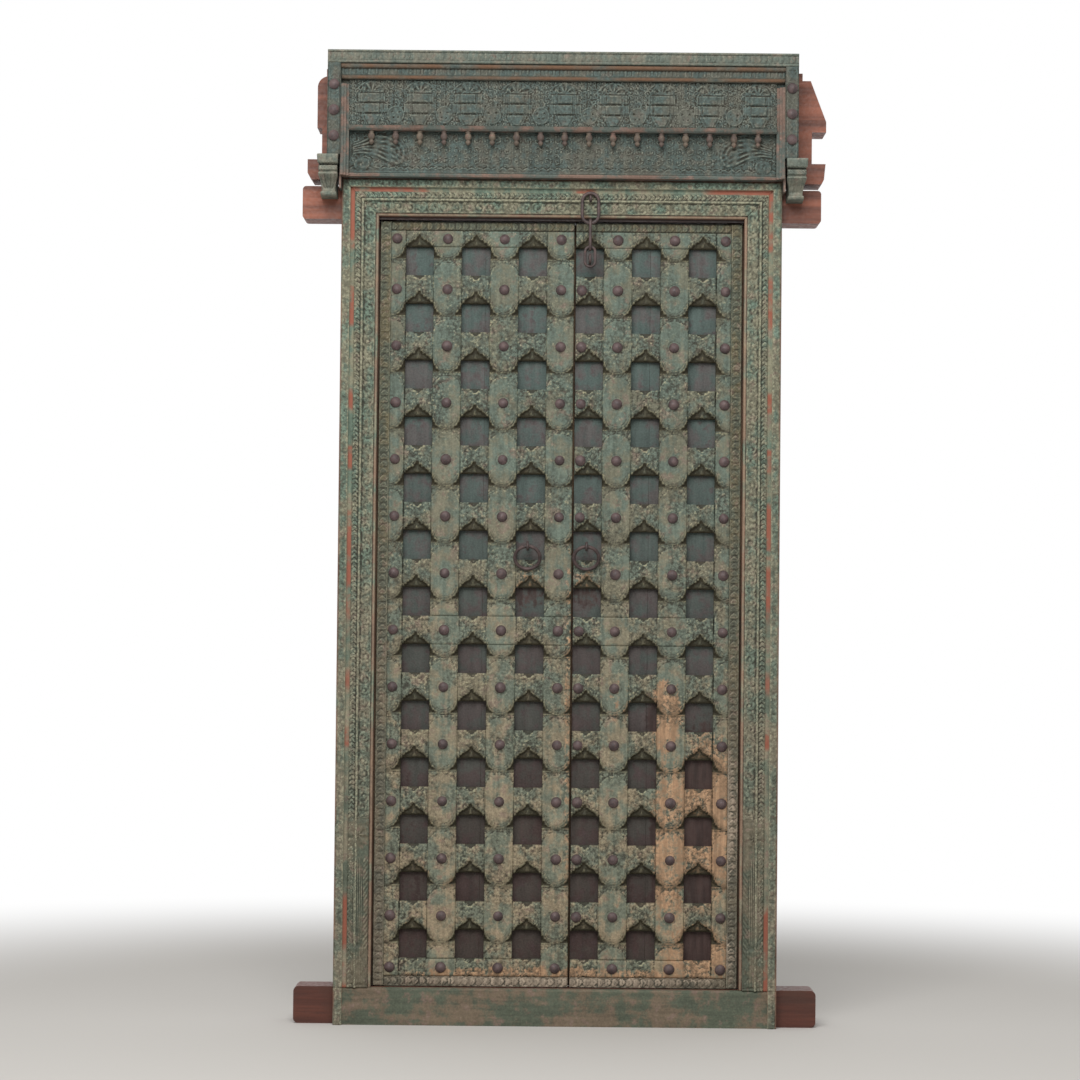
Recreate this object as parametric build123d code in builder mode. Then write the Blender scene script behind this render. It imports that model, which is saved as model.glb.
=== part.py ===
from build123d import *
import os
from math import cos, radians, sin

os.makedirs("parts", exist_ok=True)

# A carved temple door in its frame, seen from the side of its ring pulls.
# X runs to the viewer's right, Y into the building, Z up. The origin is on the underside of the
# sill beam, below the middle of the doorway, in the plane of the wall's face.

# Doorway
opening_half = 488.0  # from the middle to the lip of a jamb board
lip_reveal = 10.0  # top of the leaves to the underside of the lip at the head

# Sill and head beams
horn_reach = 107.0  # how far its horns stand out past the jamb boards
beam_depth = 104.0
sill_height = 98.0
head_height = 88.0
horn_round = 14.0

# Posts
post_width = 83.0
post_depth = 100.0
post_shadow = 16.0  # how far a post stands back from the lip
tenon_width = 44.0
tenon_depth = 40.0

# Leaves
leaf_side_gap = 4.0
leaf_foot_gap = 2.0
leaf_head_gap = 3.0
leaf_height = 2041.0
leaf_setback = 8.0  # face of the battens behind the wall's face
split_x = 37.0
split_gap = 5.0
batten_thick = 25.0
plank_thick = 22.0
ledge_thick = 30.0
ledge_height = 90.0
hinge_stile_width = 54.0
hinge_stile_thick = 42.0
hinge_stile_lap = 10.0  # how far it reaches behind the lip of the jamb board
cover_width = 17.8  # strip behind the split, on the right leaf
cover_thick = 12.0
cover_clear = 0.6

# Pivots
pintle_radius = 15.0
pintle_clear = 0.1
pintle_length = 40.0
socket_extra = 3.0  # open end below or above a pintle
pivot_inset = 22.0  # from the outer edge of the leaf
pivot_depth = 54.0  # behind the wall's face

# Lattice
pitch = 152.0
columns = 6
foot_margin = 45.0  # least height of the bottom rail with its strip
recess = 76.0
top_row_drop = 106.0  # top of a leaf to the middle of the top row of recesses
edge_batten_width = 40.0
border_width = 28.0
border_thick = 22.0
notch_half = 27.0
notch_reach = 25.0
notch_depth = 11.0

# Studs
stud_radius = 14.5
stud_height = 10.0
stud_rim = 4.0
stud_slope = 48.0  # degrees, of the hammered facets above the rim
stud_split_inset = 16.0  # studs beside the split on the right leaf

# Ring pulls
ring_radius = 33.5
ring_wire = 4.8
ring_left_x = -83.0
ring_right_x = 74.0
ring_rise = 73.0  # pivot above the middle of the cross batten
ring_axis_y = -27.5
ring_lean = 27.0
ring_clear = 0.3
ring_row = 5  # cross batten that the ring pulls lean on
ring_sides = 20  # straight runs of the forged ring
eye_radius = 9.5
eye_wire = 3.5
eye_shank = 8.0

# Jamb mouldings: widths from the lip outwards, then how far each stands out from the wall
lip_width = 9.0
wide_band = 30.0
ridge_width = 8.0
leaf_band = 17.0
groove_width = 12.0
outer_band = 19.0
bare_edge = 4.0
lip_out = 16.0
wide_out = 20.0
wide_out_far = 26.0
ridge_out = 30.0
leaf_out = 29.0
groove_out = 24.0
outer_out = 36.0
edge_out = 32.0
plinth_out = 31.0
plinth_seat = 14.0
plinth_top = 551.0
plinth_fillet = 22.0

# Threshold board
threshold_short = 23.0  # short of the outer edge of the jamb boards
threshold_out = 26.0

# Beams behind the cornice
second_gap = 18.0  # above the head beam
second_height = 54.0
second_left_past = 95.0
second_right_past = 118.0
recessed_height = 85.0
recessed_left_past = 57.0
recessed_right_past = 81.0
upper_height = 138.0
upper_left_past = 70.0
upper_right_past = 119.0
upper_right_top_past = 77.0
upper_round = 30.0
upper_depth = 110.0
back_board_height = 20.0
back_board_depth = 60.0
back_board_left_past = 46.0
back_board_right_past = 55.0

# Cornice
cornice_past = 37.0
cornice_gap = 1.0  # above the head board
cornice_out = 100.0
top_rail_height = 35.0
stile_width = 35.0
stile_rise = 52.0  # above the bottom of the cornice
inner_width = 21.0
inner_out = 88.0
side_strip_width = 5.0
side_strip_out = 70.0
side_strip_drop = 33.0  # how far the strip beside the frame hangs below the cornice
bead_height = 10.0
bead_out = 62.0
lower_frieze_height = 111.0
lower_frieze_out = 52.0
pendant_rail_height = 12.0
pendant_rail_out = 80.0
upper_frieze_height = 110.0
upper_frieze_out = 72.0
upper_frieze_cant = 18.0
crown_out = 78.0
fillet_height = 21.0
fillet_out = 92.0
small_band_out = 84.0

# Pendants
pendant_pitch = 64.2
pendants = 17
pendant_height = 38.0
pendant_radius = 12.0
pendant_shift = 5.5

# Corbels
corbel_width = 56.0
corbel_height = 106.0
corbel_out = 112.0
corbel_shift = 25.0

# Chain
chain_x = 76.0
chain_y = -36.0
staple_rise = 49.0  # above the underside of the lip
staple_width = 20.0
staple_wire = 3.6
staple_tip = -46.0
link_wire = 4.6
link_width = 53.0
link_height = 90.0
middle_wire = 4.0
middle_width = 28.0
middle_height = 88.0
last_wire = 4.0
last_width = 35.0
last_height = 61.0
chain_clear = 0.3
hasp_tip = -58.0
hasp_width = 26.0
hasp_play = 4.0  # the last link hangs this far below the staple
hasp_wire = 3.6

# What follows from the sizes above
head_bottom = sill_height + leaf_foot_gap + leaf_height + leaf_head_gap
leaf_bottom = sill_height + leaf_foot_gap
leaf_top = leaf_bottom + leaf_height
leaf_half = opening_half - leaf_side_gap
leaf_front = leaf_setback
plank_front = leaf_front + batten_thick
plank_back = plank_front + plank_thick
pivot_x = leaf_half - pivot_inset
post_inner = opening_half + post_shadow
lip_bottom = leaf_top + lip_reveal
top_row_z = leaf_top - top_row_drop
rows = 1 + int((top_row_z - recess / 2 - foot_margin - leaf_bottom) // pitch)
split_left = split_x - split_gap / 2
split_right = split_x + split_gap / 2
stud_rows = [top_row_z - pitch / 2 - pitch * n for n in range(rows - 1)]
top_rail_low = top_row_z + recess / 2
top_rail_high = leaf_top - border_width + 3
bottom_rail_high = top_row_z - pitch * (rows - 1) - recess / 2
bottom_rail_low = leaf_bottom + border_width - 1
edge_outer = leaf_half - border_width
edge_inner = edge_outer - edge_batten_width
lap = batten_thick / 2
proud_row = 6  # the one cross batten that runs over the uprights
recess_rows = [top_row_z - pitch * n for n in range(rows)]
inner_columns = [pitch * n for n in range(1, columns // 2)]
architrave_width = (
    lip_width + wide_band + ridge_width + leaf_band + groove_width + outer_band + bare_edge
)
outer_half = opening_half + architrave_width
beam_half = outer_half + horn_reach
threshold_half = outer_half - threshold_short
second_bottom = head_bottom + head_height + second_gap
second_left, second_right = outer_half + second_left_past, outer_half + second_right_past
recessed_left, recessed_right = outer_half + recessed_left_past, outer_half + recessed_right_past
upper_left, upper_right = outer_half + upper_left_past, outer_half + upper_right_past
upper_right_top = outer_half + upper_right_top_past
back_board_left, back_board_right = outer_half + back_board_left_past, outer_half + back_board_right_past
cornice_half = outer_half + cornice_past
head_top = lip_bottom + architrave_width
cornice_bottom = head_top + cornice_gap
stile_bottom = cornice_bottom + stile_rise
corbel_top = stile_bottom
ring_axis_z = stud_rows[ring_row] + ring_rise
staple_z = lip_bottom + staple_rise
stile_edge = leaf_half + hinge_stile_lap
plinth_in = lip_width
plinth_far = lip_width + wide_band + ridge_width + leaf_band


def moulding_profile():
    # Corners of the jamb mouldings: distance from the lip, distance out from the wall
    a = lip_width
    b = a + wide_band
    c = b + ridge_width
    d = c + leaf_band
    e = d + groove_width
    f = e + outer_band
    g = f + bare_edge
    return [
        (0, 0), (0, lip_out - 4), (3, lip_out), (a, lip_out), (a, wide_out), (b, wide_out_far),
        (b, ridge_out - 3), (b + 2, ridge_out), (c - 2, ridge_out), (c, ridge_out - 3),
        (c, leaf_out - 4), ((c + d) / 2, leaf_out), (d, leaf_out - 4), (d, groove_out),
        (e, groove_out), (e, outer_out - 2), (e + 2, outer_out), (f, outer_out), (g, edge_out), (g, 0),
    ]


# Sill beam with its horns, post mortises and pivot sockets
with BuildPart() as sill_beam:
    with BuildSketch(Plane.XY):
        with Locations((0, beam_depth / 2)):
            Rectangle(beam_half * 2, beam_depth)
    extrude(amount=sill_height)
    horns = sill_beam.edges().filter_by(Axis.Y).group_by(Axis.X)
    fillet(horns[0] + horns[-1], radius=horn_round)
    with BuildSketch(Plane.XY.offset(sill_height)):
        with Locations((-pivot_x, pivot_depth), (pivot_x, pivot_depth)):
            Circle(pintle_radius + pintle_clear)
    extrude(amount=-(pintle_length + socket_extra), mode=Mode.SUBTRACT)
    with BuildSketch(Plane.XY.offset(sill_height)):
        for side in (-1, 1):
            with Locations((side * (post_inner + post_width / 2), post_depth / 2)):
                Rectangle(tenon_width, tenon_depth)
    extrude(amount=-sill_height / 2, mode=Mode.SUBTRACT)

# Head beam, sockets open below, tenons pass through
with BuildPart() as head_beam:
    with BuildSketch(Plane.XY.offset(head_bottom)):
        with Locations((0, beam_depth / 2)):
            Rectangle(beam_half * 2, beam_depth)
    extrude(amount=head_height)
    horns = head_beam.edges().filter_by(Axis.Y).group_by(Axis.X)
    fillet(horns[0] + horns[-1], radius=horn_round * 0.7)
    with BuildSketch(Plane.XY.offset(head_bottom)):
        with Locations((-pivot_x, pivot_depth), (pivot_x, pivot_depth)):
            Circle(pintle_radius + pintle_clear)
    extrude(amount=pintle_length + socket_extra, mode=Mode.SUBTRACT)
    with BuildSketch(Plane.XY.offset(head_bottom)):
        for side in (-1, 1):
            with Locations((side * (post_inner + post_width / 2), post_depth / 2)):
                Rectangle(tenon_width, tenon_depth)
    extrude(amount=head_height, mode=Mode.SUBTRACT)

# Plain board in front of the sill
with BuildPart() as threshold_board:
    with BuildSketch(Plane.XY):
        with Locations((0, -threshold_out / 2)):
            Rectangle(threshold_half * 2, threshold_out)
    extrude(amount=sill_height)
    front_edge = threshold_board.edges().filter_by(Axis.X).group_by(Axis.Z)[-1].sort_by(Axis.Y)[0]
    chamfer(front_edge, length=5)

# Posts, each with a stub tenon below and a long one that also pins the second beam
tenon_top = second_bottom + second_height / 2


def make_post(side):
    with BuildPart() as post:
        with BuildSketch(Plane.XY.offset(sill_height)):
            with Locations((side * (post_inner + post_width / 2), post_depth / 2)):
                Rectangle(post_width, post_depth)
        extrude(amount=head_bottom - sill_height)
        with BuildSketch(Plane.XY.offset(sill_height / 2)):
            with Locations((side * (post_inner + post_width / 2), post_depth / 2)):
                Rectangle(tenon_width, tenon_depth)
        extrude(amount=tenon_top - sill_height / 2)
    return post


post_left = make_post(-1)
post_right = make_post(1)


# Jamb boards: one moulded profile, cut at 45 degrees at the head and let in for the plinth panel
def make_jamb(side):
    with BuildPart() as board:
        with BuildSketch(Plane.XY):
            with BuildLine():
                Polyline(
                    *[(side * (opening_half + u), -out) for u, out in moulding_profile()], close=True
                )
            make_face()
        extrude(amount=head_top)
        split(
            bisect_by=Plane(origin=(side * opening_half, 0, lip_bottom), z_dir=(-side, 0, 1)),
            keep=Keep.BOTTOM,
        )
        inner = opening_half - 1
        with BuildSketch(Plane.XY):
            with Locations((side * (inner + threshold_half) / 2, -cornice_out / 2)):
                Rectangle(threshold_half - inner, cornice_out)
        extrude(amount=sill_height, mode=Mode.SUBTRACT)
        with BuildSketch(Plane.XY.offset(sill_height)):
            with Locations(
                (side * (opening_half + (plinth_in + plinth_far) / 2), -plinth_seat - cornice_out / 2)
            ):
                Rectangle(plinth_far - plinth_in, cornice_out)
        extrude(amount=plinth_top - sill_height, mode=Mode.SUBTRACT)
    return board


jamb_board_left = make_jamb(-1)
jamb_board_right = make_jamb(1)

# Head board with the same profile
with BuildPart() as head_board:
    with BuildSketch(Plane.YZ.offset(-outer_half)):
        with BuildLine():
            Polyline(*[(-out, lip_bottom + u) for u, out in moulding_profile()], close=True)
        make_face()
    extrude(amount=outer_half * 2)
    for side in (-1, 1):
        split(
            bisect_by=Plane(origin=(side * opening_half, 0, lip_bottom), z_dir=(-side, 0, 1)),
            keep=Keep.TOP,
        )


# Plinth panels: a cap fillet, a sunk field and a base fillet, set into the jamb boards
def make_plinth(side):
    middle = side * (opening_half + (plinth_in + plinth_far) / 2)
    width = plinth_far - plinth_in
    with BuildPart() as panel:
        with BuildSketch(Plane.XY.offset(sill_height)):
            with Locations((middle, -(plinth_seat + plinth_out) / 2)):
                Rectangle(width, plinth_out - plinth_seat)
        extrude(amount=plinth_top - sill_height)
        field = plinth_top - sill_height - plinth_fillet * 2
        with BuildSketch(Plane.XY.offset(sill_height + plinth_fillet)):
            with Locations((middle, -plinth_out)):
                Rectangle(width, 8)
        extrude(amount=field, mode=Mode.SUBTRACT)
    return panel


plinth_panel_left = make_plinth(-1)
plinth_panel_right = make_plinth(1)

# Second beam on the post tenons, recessed beam and upper beam above it
second_top = second_bottom + second_height
recessed_top = second_top + recessed_height
upper_top = recessed_top + upper_height
with BuildPart() as second_beam:
    with BuildSketch(Plane.XZ):
        with BuildLine():
            Polyline(
                (-second_left, second_top), (-second_left, second_bottom + 18),
                (-second_left + 12, second_bottom), (second_right - 10, second_bottom),
                (second_right - 4, second_bottom + 12), (second_right, second_top), close=True,
            )
        make_face()
    extrude(amount=-upper_depth)
    with BuildSketch(Plane.XY.offset(second_bottom)):
        for side in (-1, 1):
            with Locations((side * (post_inner + post_width / 2), post_depth / 2)):
                Rectangle(tenon_width, tenon_depth)
    extrude(amount=second_height / 2, mode=Mode.SUBTRACT)

with BuildPart() as recessed_beam:
    with BuildSketch(Plane.XZ):
        with Locations(((recessed_right - recessed_left) / 2, (second_top + recessed_top) / 2)):
            Rectangle(recessed_left + recessed_right, recessed_height)
    extrude(amount=-(upper_depth - 12))

with BuildPart() as upper_beam:
    with BuildSketch(Plane.XZ):
        with BuildLine():
            Line((-upper_left, recessed_top), (-upper_left, upper_top - upper_round))
            RadiusArc(
                (-upper_left, upper_top - upper_round),
                (-upper_left + upper_round * 0.8, upper_top), upper_round,
            )
            Line((-upper_left + upper_round * 0.8, upper_top), (upper_right_top, upper_top))
            Line((upper_right_top, upper_top), (upper_right, recessed_top + 28))
            Line((upper_right, recessed_top + 28), (upper_right, recessed_top))
            Line((upper_right, recessed_top), (-upper_left, recessed_top))
        make_face()
    extrude(amount=-upper_depth)

cornice_top = upper_top + back_board_height + top_rail_height
with BuildPart() as back_board:
    with BuildSketch(Plane.XZ):
        with Locations(
            ((back_board_right - back_board_left) / 2, upper_top + back_board_height / 2)
        ):
            Rectangle(back_board_left + back_board_right, back_board_height)
    extrude(amount=-back_board_depth)

# Cornice: bottom bead, lower frieze, pendant rail, canted upper frieze, crown moulding
inside_half = cornice_half - stile_width - inner_width
bead_top = cornice_bottom + bead_height
lower_top = bead_top + lower_frieze_height
rail_top = lower_top + pendant_rail_height
upper_frieze_top = rail_top + upper_frieze_height
crown_top = cornice_top - top_rail_height
front_half = cornice_half - stile_width
with BuildPart() as bottom_bead:
    with BuildSketch(Plane.YZ.offset(-inside_half)):
        with BuildLine():
            Polyline(
                (0, bead_top), (-lower_frieze_out + 6, bead_top), (-bead_out + 3, bead_top - 1),
                (-bead_out, bead_top - 5), (-bead_out + 2, cornice_bottom),
                (-outer_out, cornice_bottom), (-outer_out, head_top), (0, head_top), close=True,
            )
        make_face()
    extrude(amount=inside_half * 2)

with BuildPart() as lower_frieze:
    with BuildSketch(Plane.XY.offset(bead_top)):
        with Locations((0, -lower_frieze_out / 2)):
            Rectangle(inside_half * 2, lower_frieze_out)
    extrude(amount=lower_frieze_height)

with BuildPart() as pendant_rail:
    with BuildSketch(Plane.YZ.offset(-inside_half)):
        with BuildLine():
            Polyline(
                (0, lower_top), (-pendant_rail_out + 4, lower_top), (-pendant_rail_out, lower_top + 4),
                (-pendant_rail_out - 4, rail_top), (0, rail_top), close=True,
            )
        make_face()
    extrude(amount=inside_half * 2)

with BuildPart() as upper_frieze:
    with BuildSketch(Plane.YZ.offset(-inside_half)):
        with BuildLine():
            Polyline(
                (0, rail_top), (-upper_frieze_out - upper_frieze_cant + 8, rail_top),
                (-upper_frieze_out - upper_frieze_cant + 8, rail_top + 8),
                (-upper_frieze_out, upper_frieze_top), (0, upper_frieze_top), close=True,
            )
        make_face()
    extrude(amount=inside_half * 2)

with BuildPart() as crown_moulding:
    band = upper_frieze_top + (crown_top - upper_frieze_top - fillet_height) / 2
    with BuildSketch(Plane.YZ.offset(-front_half)):
        with BuildLine():
            Polyline(
                (0, upper_frieze_top), (-crown_out + 3, upper_frieze_top),
                (-crown_out, upper_frieze_top + 3), (-crown_out - 4, band - 2), (-small_band_out, band),
                (-small_band_out, crown_top - fillet_height), (-fillet_out + 3, crown_top - fillet_height),
                (-fillet_out, crown_top - fillet_height + 6), (-fillet_out - 3, crown_top),
                (0, crown_top), close=True,
            )
        make_face()
    extrude(amount=front_half * 2)

with BuildPart() as cornice_top_rail:
    with BuildSketch(Plane.XY.offset(crown_top)):
        with Locations((0, (back_board_depth - cornice_out) / 2)):
            Rectangle(cornice_half * 2, cornice_out + back_board_depth)
    extrude(amount=top_rail_height)
    lower = cornice_top_rail.edges().filter_by(Axis.X).group_by(Axis.Z)[0].sort_by(Axis.Y)[0]
    chamfer(lower, length=4)


def make_stile(side):
    with BuildPart() as stile:
        with BuildSketch(Plane.XY.offset(stile_bottom)):
            with Locations((side * (cornice_half - stile_width / 2), -cornice_out / 2)):
                Rectangle(stile_width, cornice_out)
        extrude(amount=crown_top - stile_bottom)
    return stile


cornice_stile_left = make_stile(-1)
cornice_stile_right = make_stile(1)

with BuildPart() as cornice_inner_mouldings:
    for side in (-1, 1):
        with BuildSketch(Plane.XY.offset(cornice_bottom)):
            with BuildLine():
                Polyline(
                    (side * inside_half, 0), (side * inside_half, -inner_out + 16),
                    (side * (inside_half + 7), -inner_out + 16), (side * (inside_half + 7), -inner_out + 6),
                    (side * (inside_half + 14), -inner_out + 6), (side * (inside_half + 14), -inner_out),
                    (side * front_half, -inner_out), (side * front_half, 0), close=True,
                )
            make_face()
        extrude(amount=upper_frieze_top - cornice_bottom)
        with BuildSketch(Plane.XY.offset(cornice_bottom - side_strip_drop)):
            strip = outer_half + 0.5 + side_strip_width / 2
            with Locations((side * strip, -side_strip_out / 2)):
                Rectangle(side_strip_width, side_strip_out)
        extrude(amount=stile_bottom - cornice_bottom + side_strip_drop)

# Turned pendants under the pendant rail
pendant_places = [
    (pendant_shift + pendant_pitch * (n - (pendants - 1) / 2), 0, lower_top) for n in range(pendants)
]
with BuildPart() as pendant_drop:
    for along, round_part in ((0, 0.6), (0.35, 1), (0.66, 0.45), (0.8, 0.75), (1, 0.15)):
        with BuildSketch(Plane.XY.offset(-pendant_height * along)):
            RegularPolygon(radius=pendant_radius * round_part, side_count=8)
    loft(ruled=True)
pendant_y = -(lower_frieze_out + pendant_radius + 1.5)
with BuildPart() as turned_pendants:
    with Locations(*[(x, pendant_y, z) for x, _, z in pendant_places]):
        add(pendant_drop.part)


# Corbels: abacus, necking, flared leaves and base, cut from one block
def make_corbel(side):
    low = corbel_top - corbel_height
    half = corbel_width / 2
    middle = side * (cornice_half - half + corbel_shift)
    with BuildPart() as corbel:
        with BuildSketch(Plane.YZ.offset(middle - half)):
            with BuildLine():
                Polyline(
                    (0, corbel_top), (-corbel_out, corbel_top), (-corbel_out - 4, corbel_top - 6),
                    (-corbel_out - 4, corbel_top - 18), (-corbel_out + 8, corbel_top - 24),
                    (-corbel_out + 14, corbel_top - 26), (-corbel_out + 14, corbel_top - 36),
                    (-corbel_out + 4, corbel_top - 42), (-corbel_out + 10, corbel_top - 60),
                    (-corbel_out + 34, low + 26), (-corbel_out + 30, low + 22),
                    (-corbel_out + 30, low + 8), (-corbel_out + 44, low), (0, low), close=True,
                )
            make_face()
        extrude(amount=corbel_width)
        # The sides narrow below the abacus
        with BuildSketch(Plane.XZ.offset(corbel_out + 10)):
            for flank in (-1, 1):
                with BuildLine():
                    x = middle + flank * half
                    Polyline(
                        (x + flank, corbel_top - 20), (x - flank * 5, corbel_top - 24),
                        (x - flank * 5, corbel_top - 38), (x - flank * 2, corbel_top - 44),
                        (x - flank * 8, low + 26), (x - flank * 4, low + 20), (x - flank * 7, low - 1),
                        (x + flank, low - 1), close=True,
                    )
                make_face()
        extrude(amount=-(corbel_out + 20), mode=Mode.SUBTRACT)
    return corbel


corbel_left = make_corbel(-1)
corbel_right = make_corbel(1)

# Forged domed studs with hammered facets, for the leaves and the cornice stiles
with BuildPart() as stud:
    with BuildSketch(Plane.XZ):
        RegularPolygon(radius=stud_radius, side_count=8)
    extrude(amount=stud_rim)
    with BuildSketch(Plane.XZ.offset(stud_rim)):
        RegularPolygon(radius=stud_radius, side_count=8)
    extrude(amount=stud_height - stud_rim, taper=stud_slope)

with BuildPart() as stile_studs:
    for side in (-1, 1):
        with Locations(
            *[
                (side * (cornice_half - stile_width / 2), -cornice_out, stile_bottom + 50 + 68 * n)
                for n in range(3)
            ]
        ):
            add(stud.part)


# Leaves: the planks, ledges and hinge stile behind, the lattice of half-lapped battens in front.
# A leaf is described from its pivot side (side is -1 on the left) to its meeting edge.
def notch_tool(direction):
    # Pointed notch with stepped sides that slopes down to the edge of a recess
    with BuildPart() as tool:
        with BuildSketch(Plane.XZ.offset(-(leaf_front + notch_depth))):
            with BuildLine():
                Polyline(
                    (-notch_half, -1), (-notch_half * 0.5, notch_reach * 0.36), (0, notch_reach),
                    (notch_half * 0.5, notch_reach * 0.36), (notch_half, -1), close=True,
                )
            make_face()
        extrude(amount=notch_depth + 1)
        split(
            bisect_by=Plane(
                origin=(0, leaf_front, notch_reach), z_dir=(0, notch_reach, notch_depth)
            ),
            keep=Keep.BOTTOM,
        )
    return tool.part.rotate(Axis.Y, direction)


notch_up = notch_tool(0)
notch_right = notch_tool(90)
notch_down = notch_tool(180)
notch_left = notch_tool(270)


def upright(low_x, high_x, notch_low, notch_high):
    # Upright batten, halved at the back where cross battens pass, and at the front for the proud one
    with BuildPart() as batten:
        with BuildSketch(Plane.XY.offset(bottom_rail_low)):
            with Locations(((low_x + high_x) / 2, leaf_front + batten_thick / 2)):
                Rectangle(high_x - low_x, batten_thick)
        extrude(amount=top_rail_high - bottom_rail_low)
        wide = high_x - low_x + 2
        middle = (low_x + high_x) / 2
        cuts = [(z, recess, n == proud_row) for n, z in enumerate(stud_rows)]
        cuts.append(((top_rail_low + top_rail_high) / 2, top_rail_high - top_rail_low, False))
        cuts.append(((bottom_rail_low + bottom_rail_high) / 2, bottom_rail_high - bottom_rail_low, False))
        for z, tall, proud in cuts:
            y = leaf_front + (lap / 2 if proud else batten_thick - lap / 2)
            with Locations((middle, y, z)):
                Box(wide, lap, tall, mode=Mode.SUBTRACT)
        if notch_low:
            with Locations(*[(low_x, 0, z) for z in recess_rows]):
                add(notch_right, mode=Mode.SUBTRACT)
        if notch_high:
            with Locations(*[(high_x, 0, z) for z in recess_rows]):
                add(notch_left, mode=Mode.SUBTRACT)
    return batten


def crossing(low_x, high_x, bars, z, tall, proud, notch_xs, above, below):
    # Cross batten, halved at the front where uprights pass
    with BuildPart() as batten:
        with Locations(((low_x + high_x) / 2, leaf_front + batten_thick / 2, z)):
            Box(high_x - low_x, batten_thick, tall)
        y = leaf_front + (batten_thick - lap / 2 if proud else lap / 2)
        for a, b in bars:
            with Locations(((a + b) / 2, y, z)):
                Box(b - a, lap, tall + 2, mode=Mode.SUBTRACT)
        if below:
            with Locations(*[(x, 0, z - tall / 2) for x in notch_xs]):
                add(notch_up, mode=Mode.SUBTRACT)
        if above:
            with Locations(*[(x, 0, z + tall / 2) for x in notch_xs]):
                add(notch_down, mode=Mode.SUBTRACT)
    return batten


def leaf_bars(side):
    # Each upright's two edges, in order from left to right
    bars = [(x - recess / 2, x + recess / 2) for x in inner_columns]
    bars.append((edge_inner, edge_outer))
    if side < 0:
        bars = sorted((-b, -a) for a, b in bars)
        bars.append((-recess / 2, split_left))
    return bars


def notch_places(side):
    places = [pitch * (n + 0.5) for n in range(columns // 2)]
    return [side * x for x in places]


finished = {}
for side, name in ((-1, "left"), (1, "right")):
    bars = leaf_bars(side)
    meeting = split_left if side < 0 else split_right
    low_x, high_x = sorted((side * edge_outer, meeting))
    # Hinge stile with its round pintles
    with BuildPart() as hinge_stile:
        with BuildSketch(Plane.XY.offset(leaf_bottom)):
            with Locations(
                (side * (stile_edge - hinge_stile_width / 2), plank_front + hinge_stile_thick / 2)
            ):
                Rectangle(hinge_stile_width, hinge_stile_thick)
        extrude(amount=leaf_height)
        backs = hinge_stile.edges().filter_by(Axis.Z).sort_by(Axis.Y)[-2:]
        fillet(backs, radius=6)
        with BuildSketch(Plane.XY.offset(sill_height - pintle_length)):
            with Locations((side * pivot_x, pivot_depth)):
                Circle(pintle_radius)
        extrude(amount=pintle_length * 2 + head_bottom - sill_height)
    finished["hinge_stile_" + name] = hinge_stile
    # Planks behind the recesses
    plank_edge = side * (stile_edge - hinge_stile_width)
    plank_low, plank_high = sorted((plank_edge, meeting))
    plank_width = (plank_high - plank_low) / 2
    with BuildPart() as planks:
        for n in range(2):
            with BuildSketch(Plane.XY.offset(leaf_bottom)):
                with Locations(
                    (plank_low + plank_width * (n + 0.5), (plank_front + plank_back) / 2)
                ):
                    Rectangle(plank_width - 0.6, plank_thick)
            extrude(amount=leaf_height)
    finished["planks_" + name] = planks
    # Ledges across the back
    with BuildPart() as ledges:
        with Locations(
            *[
                ((plank_low + plank_high) / 2, plank_back + ledge_thick / 2, z)
                for z in (leaf_bottom + 170, leaf_bottom + 740, leaf_bottom + 1310, leaf_top - 170)
            ]
        ):
            Box(plank_high - plank_low - 14, ledge_thick, ledge_height)
        long_edges = ledges.edges().filter_by(Axis.X).group_by(Axis.Y)[-1]
        chamfer(long_edges, length=8)
    finished["back_ledges_" + name] = ledges
    # Uprights
    outer_bar = bars[0] if side < 0 else bars[-1]
    finished["edge_batten_" + name] = upright(*outer_bar, side > 0, side < 0)
    inner_bars = bars[1:3] if side < 0 else bars[0:2]
    for n, bar in enumerate(inner_bars, 1):
        finished[f"upright_{name}_{n}"] = upright(*bar, True, True)
    if side < 0:
        finished["meeting_stile"] = upright(*bars[-1], True, False)
    # Cross battens and rails
    places = notch_places(side)
    with BuildPart() as cross_battens:
        for n, z in enumerate(stud_rows):
            add(crossing(low_x, high_x, bars, z, recess, n == proud_row, places, True, True).part)
    finished["cross_battens_" + name] = cross_battens
    tall = top_rail_high - top_rail_low
    finished["top_rail_" + name] = crossing(
        low_x, high_x, bars, top_rail_low + tall / 2, tall, False, places, False, True
    )
    tall = bottom_rail_high - bottom_rail_low
    finished["bottom_rail_" + name] = crossing(
        low_x, high_x, bars, bottom_rail_low + tall / 2, tall, False, places, True, False
    )
    # Border strips: up the hinge edge, across the top and the bottom
    strip_y = plank_front - border_thick / 2
    with BuildPart() as border:
        with Locations(
            (side * (edge_outer + border_width / 2), strip_y, (leaf_bottom + leaf_top) / 2)
        ):
            Box(border_width, border_thick, leaf_height)
        across = high_x - low_x
        for low, high in ((leaf_bottom, bottom_rail_low), (top_rail_high, leaf_top)):
            with Locations(((low_x + high_x) / 2, strip_y, (low + high) / 2)):
                Box(across - 0.4, border_thick, high - low)
    finished["border_strips_" + name] = border
    # Studs at the crossings
    stud_xs = [side * x for x in inner_columns] + [side * (edge_outer - stud_split_inset)]
    stud_zs = stud_rows + [
        (top_rail_low + top_rail_high) / 2, (bottom_rail_low + bottom_rail_high) / 2
    ]
    # The column at the split has no stud at the top of the right leaf, or under its ring pull
    split_zs = stud_zs if side < 0 else [z for n, z in enumerate(stud_rows) if n != ring_row]
    split_stud = 0 if side < 0 else split_right + stud_split_inset
    stud_places = [(x, leaf_front, z) for x in stud_xs for z in stud_zs]
    stud_places += [(split_stud, leaf_front, z) for z in split_zs]
    with BuildPart() as studs:
        with Locations(*stud_places):
            add(stud.part)
    finished["studs_" + name] = studs

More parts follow.
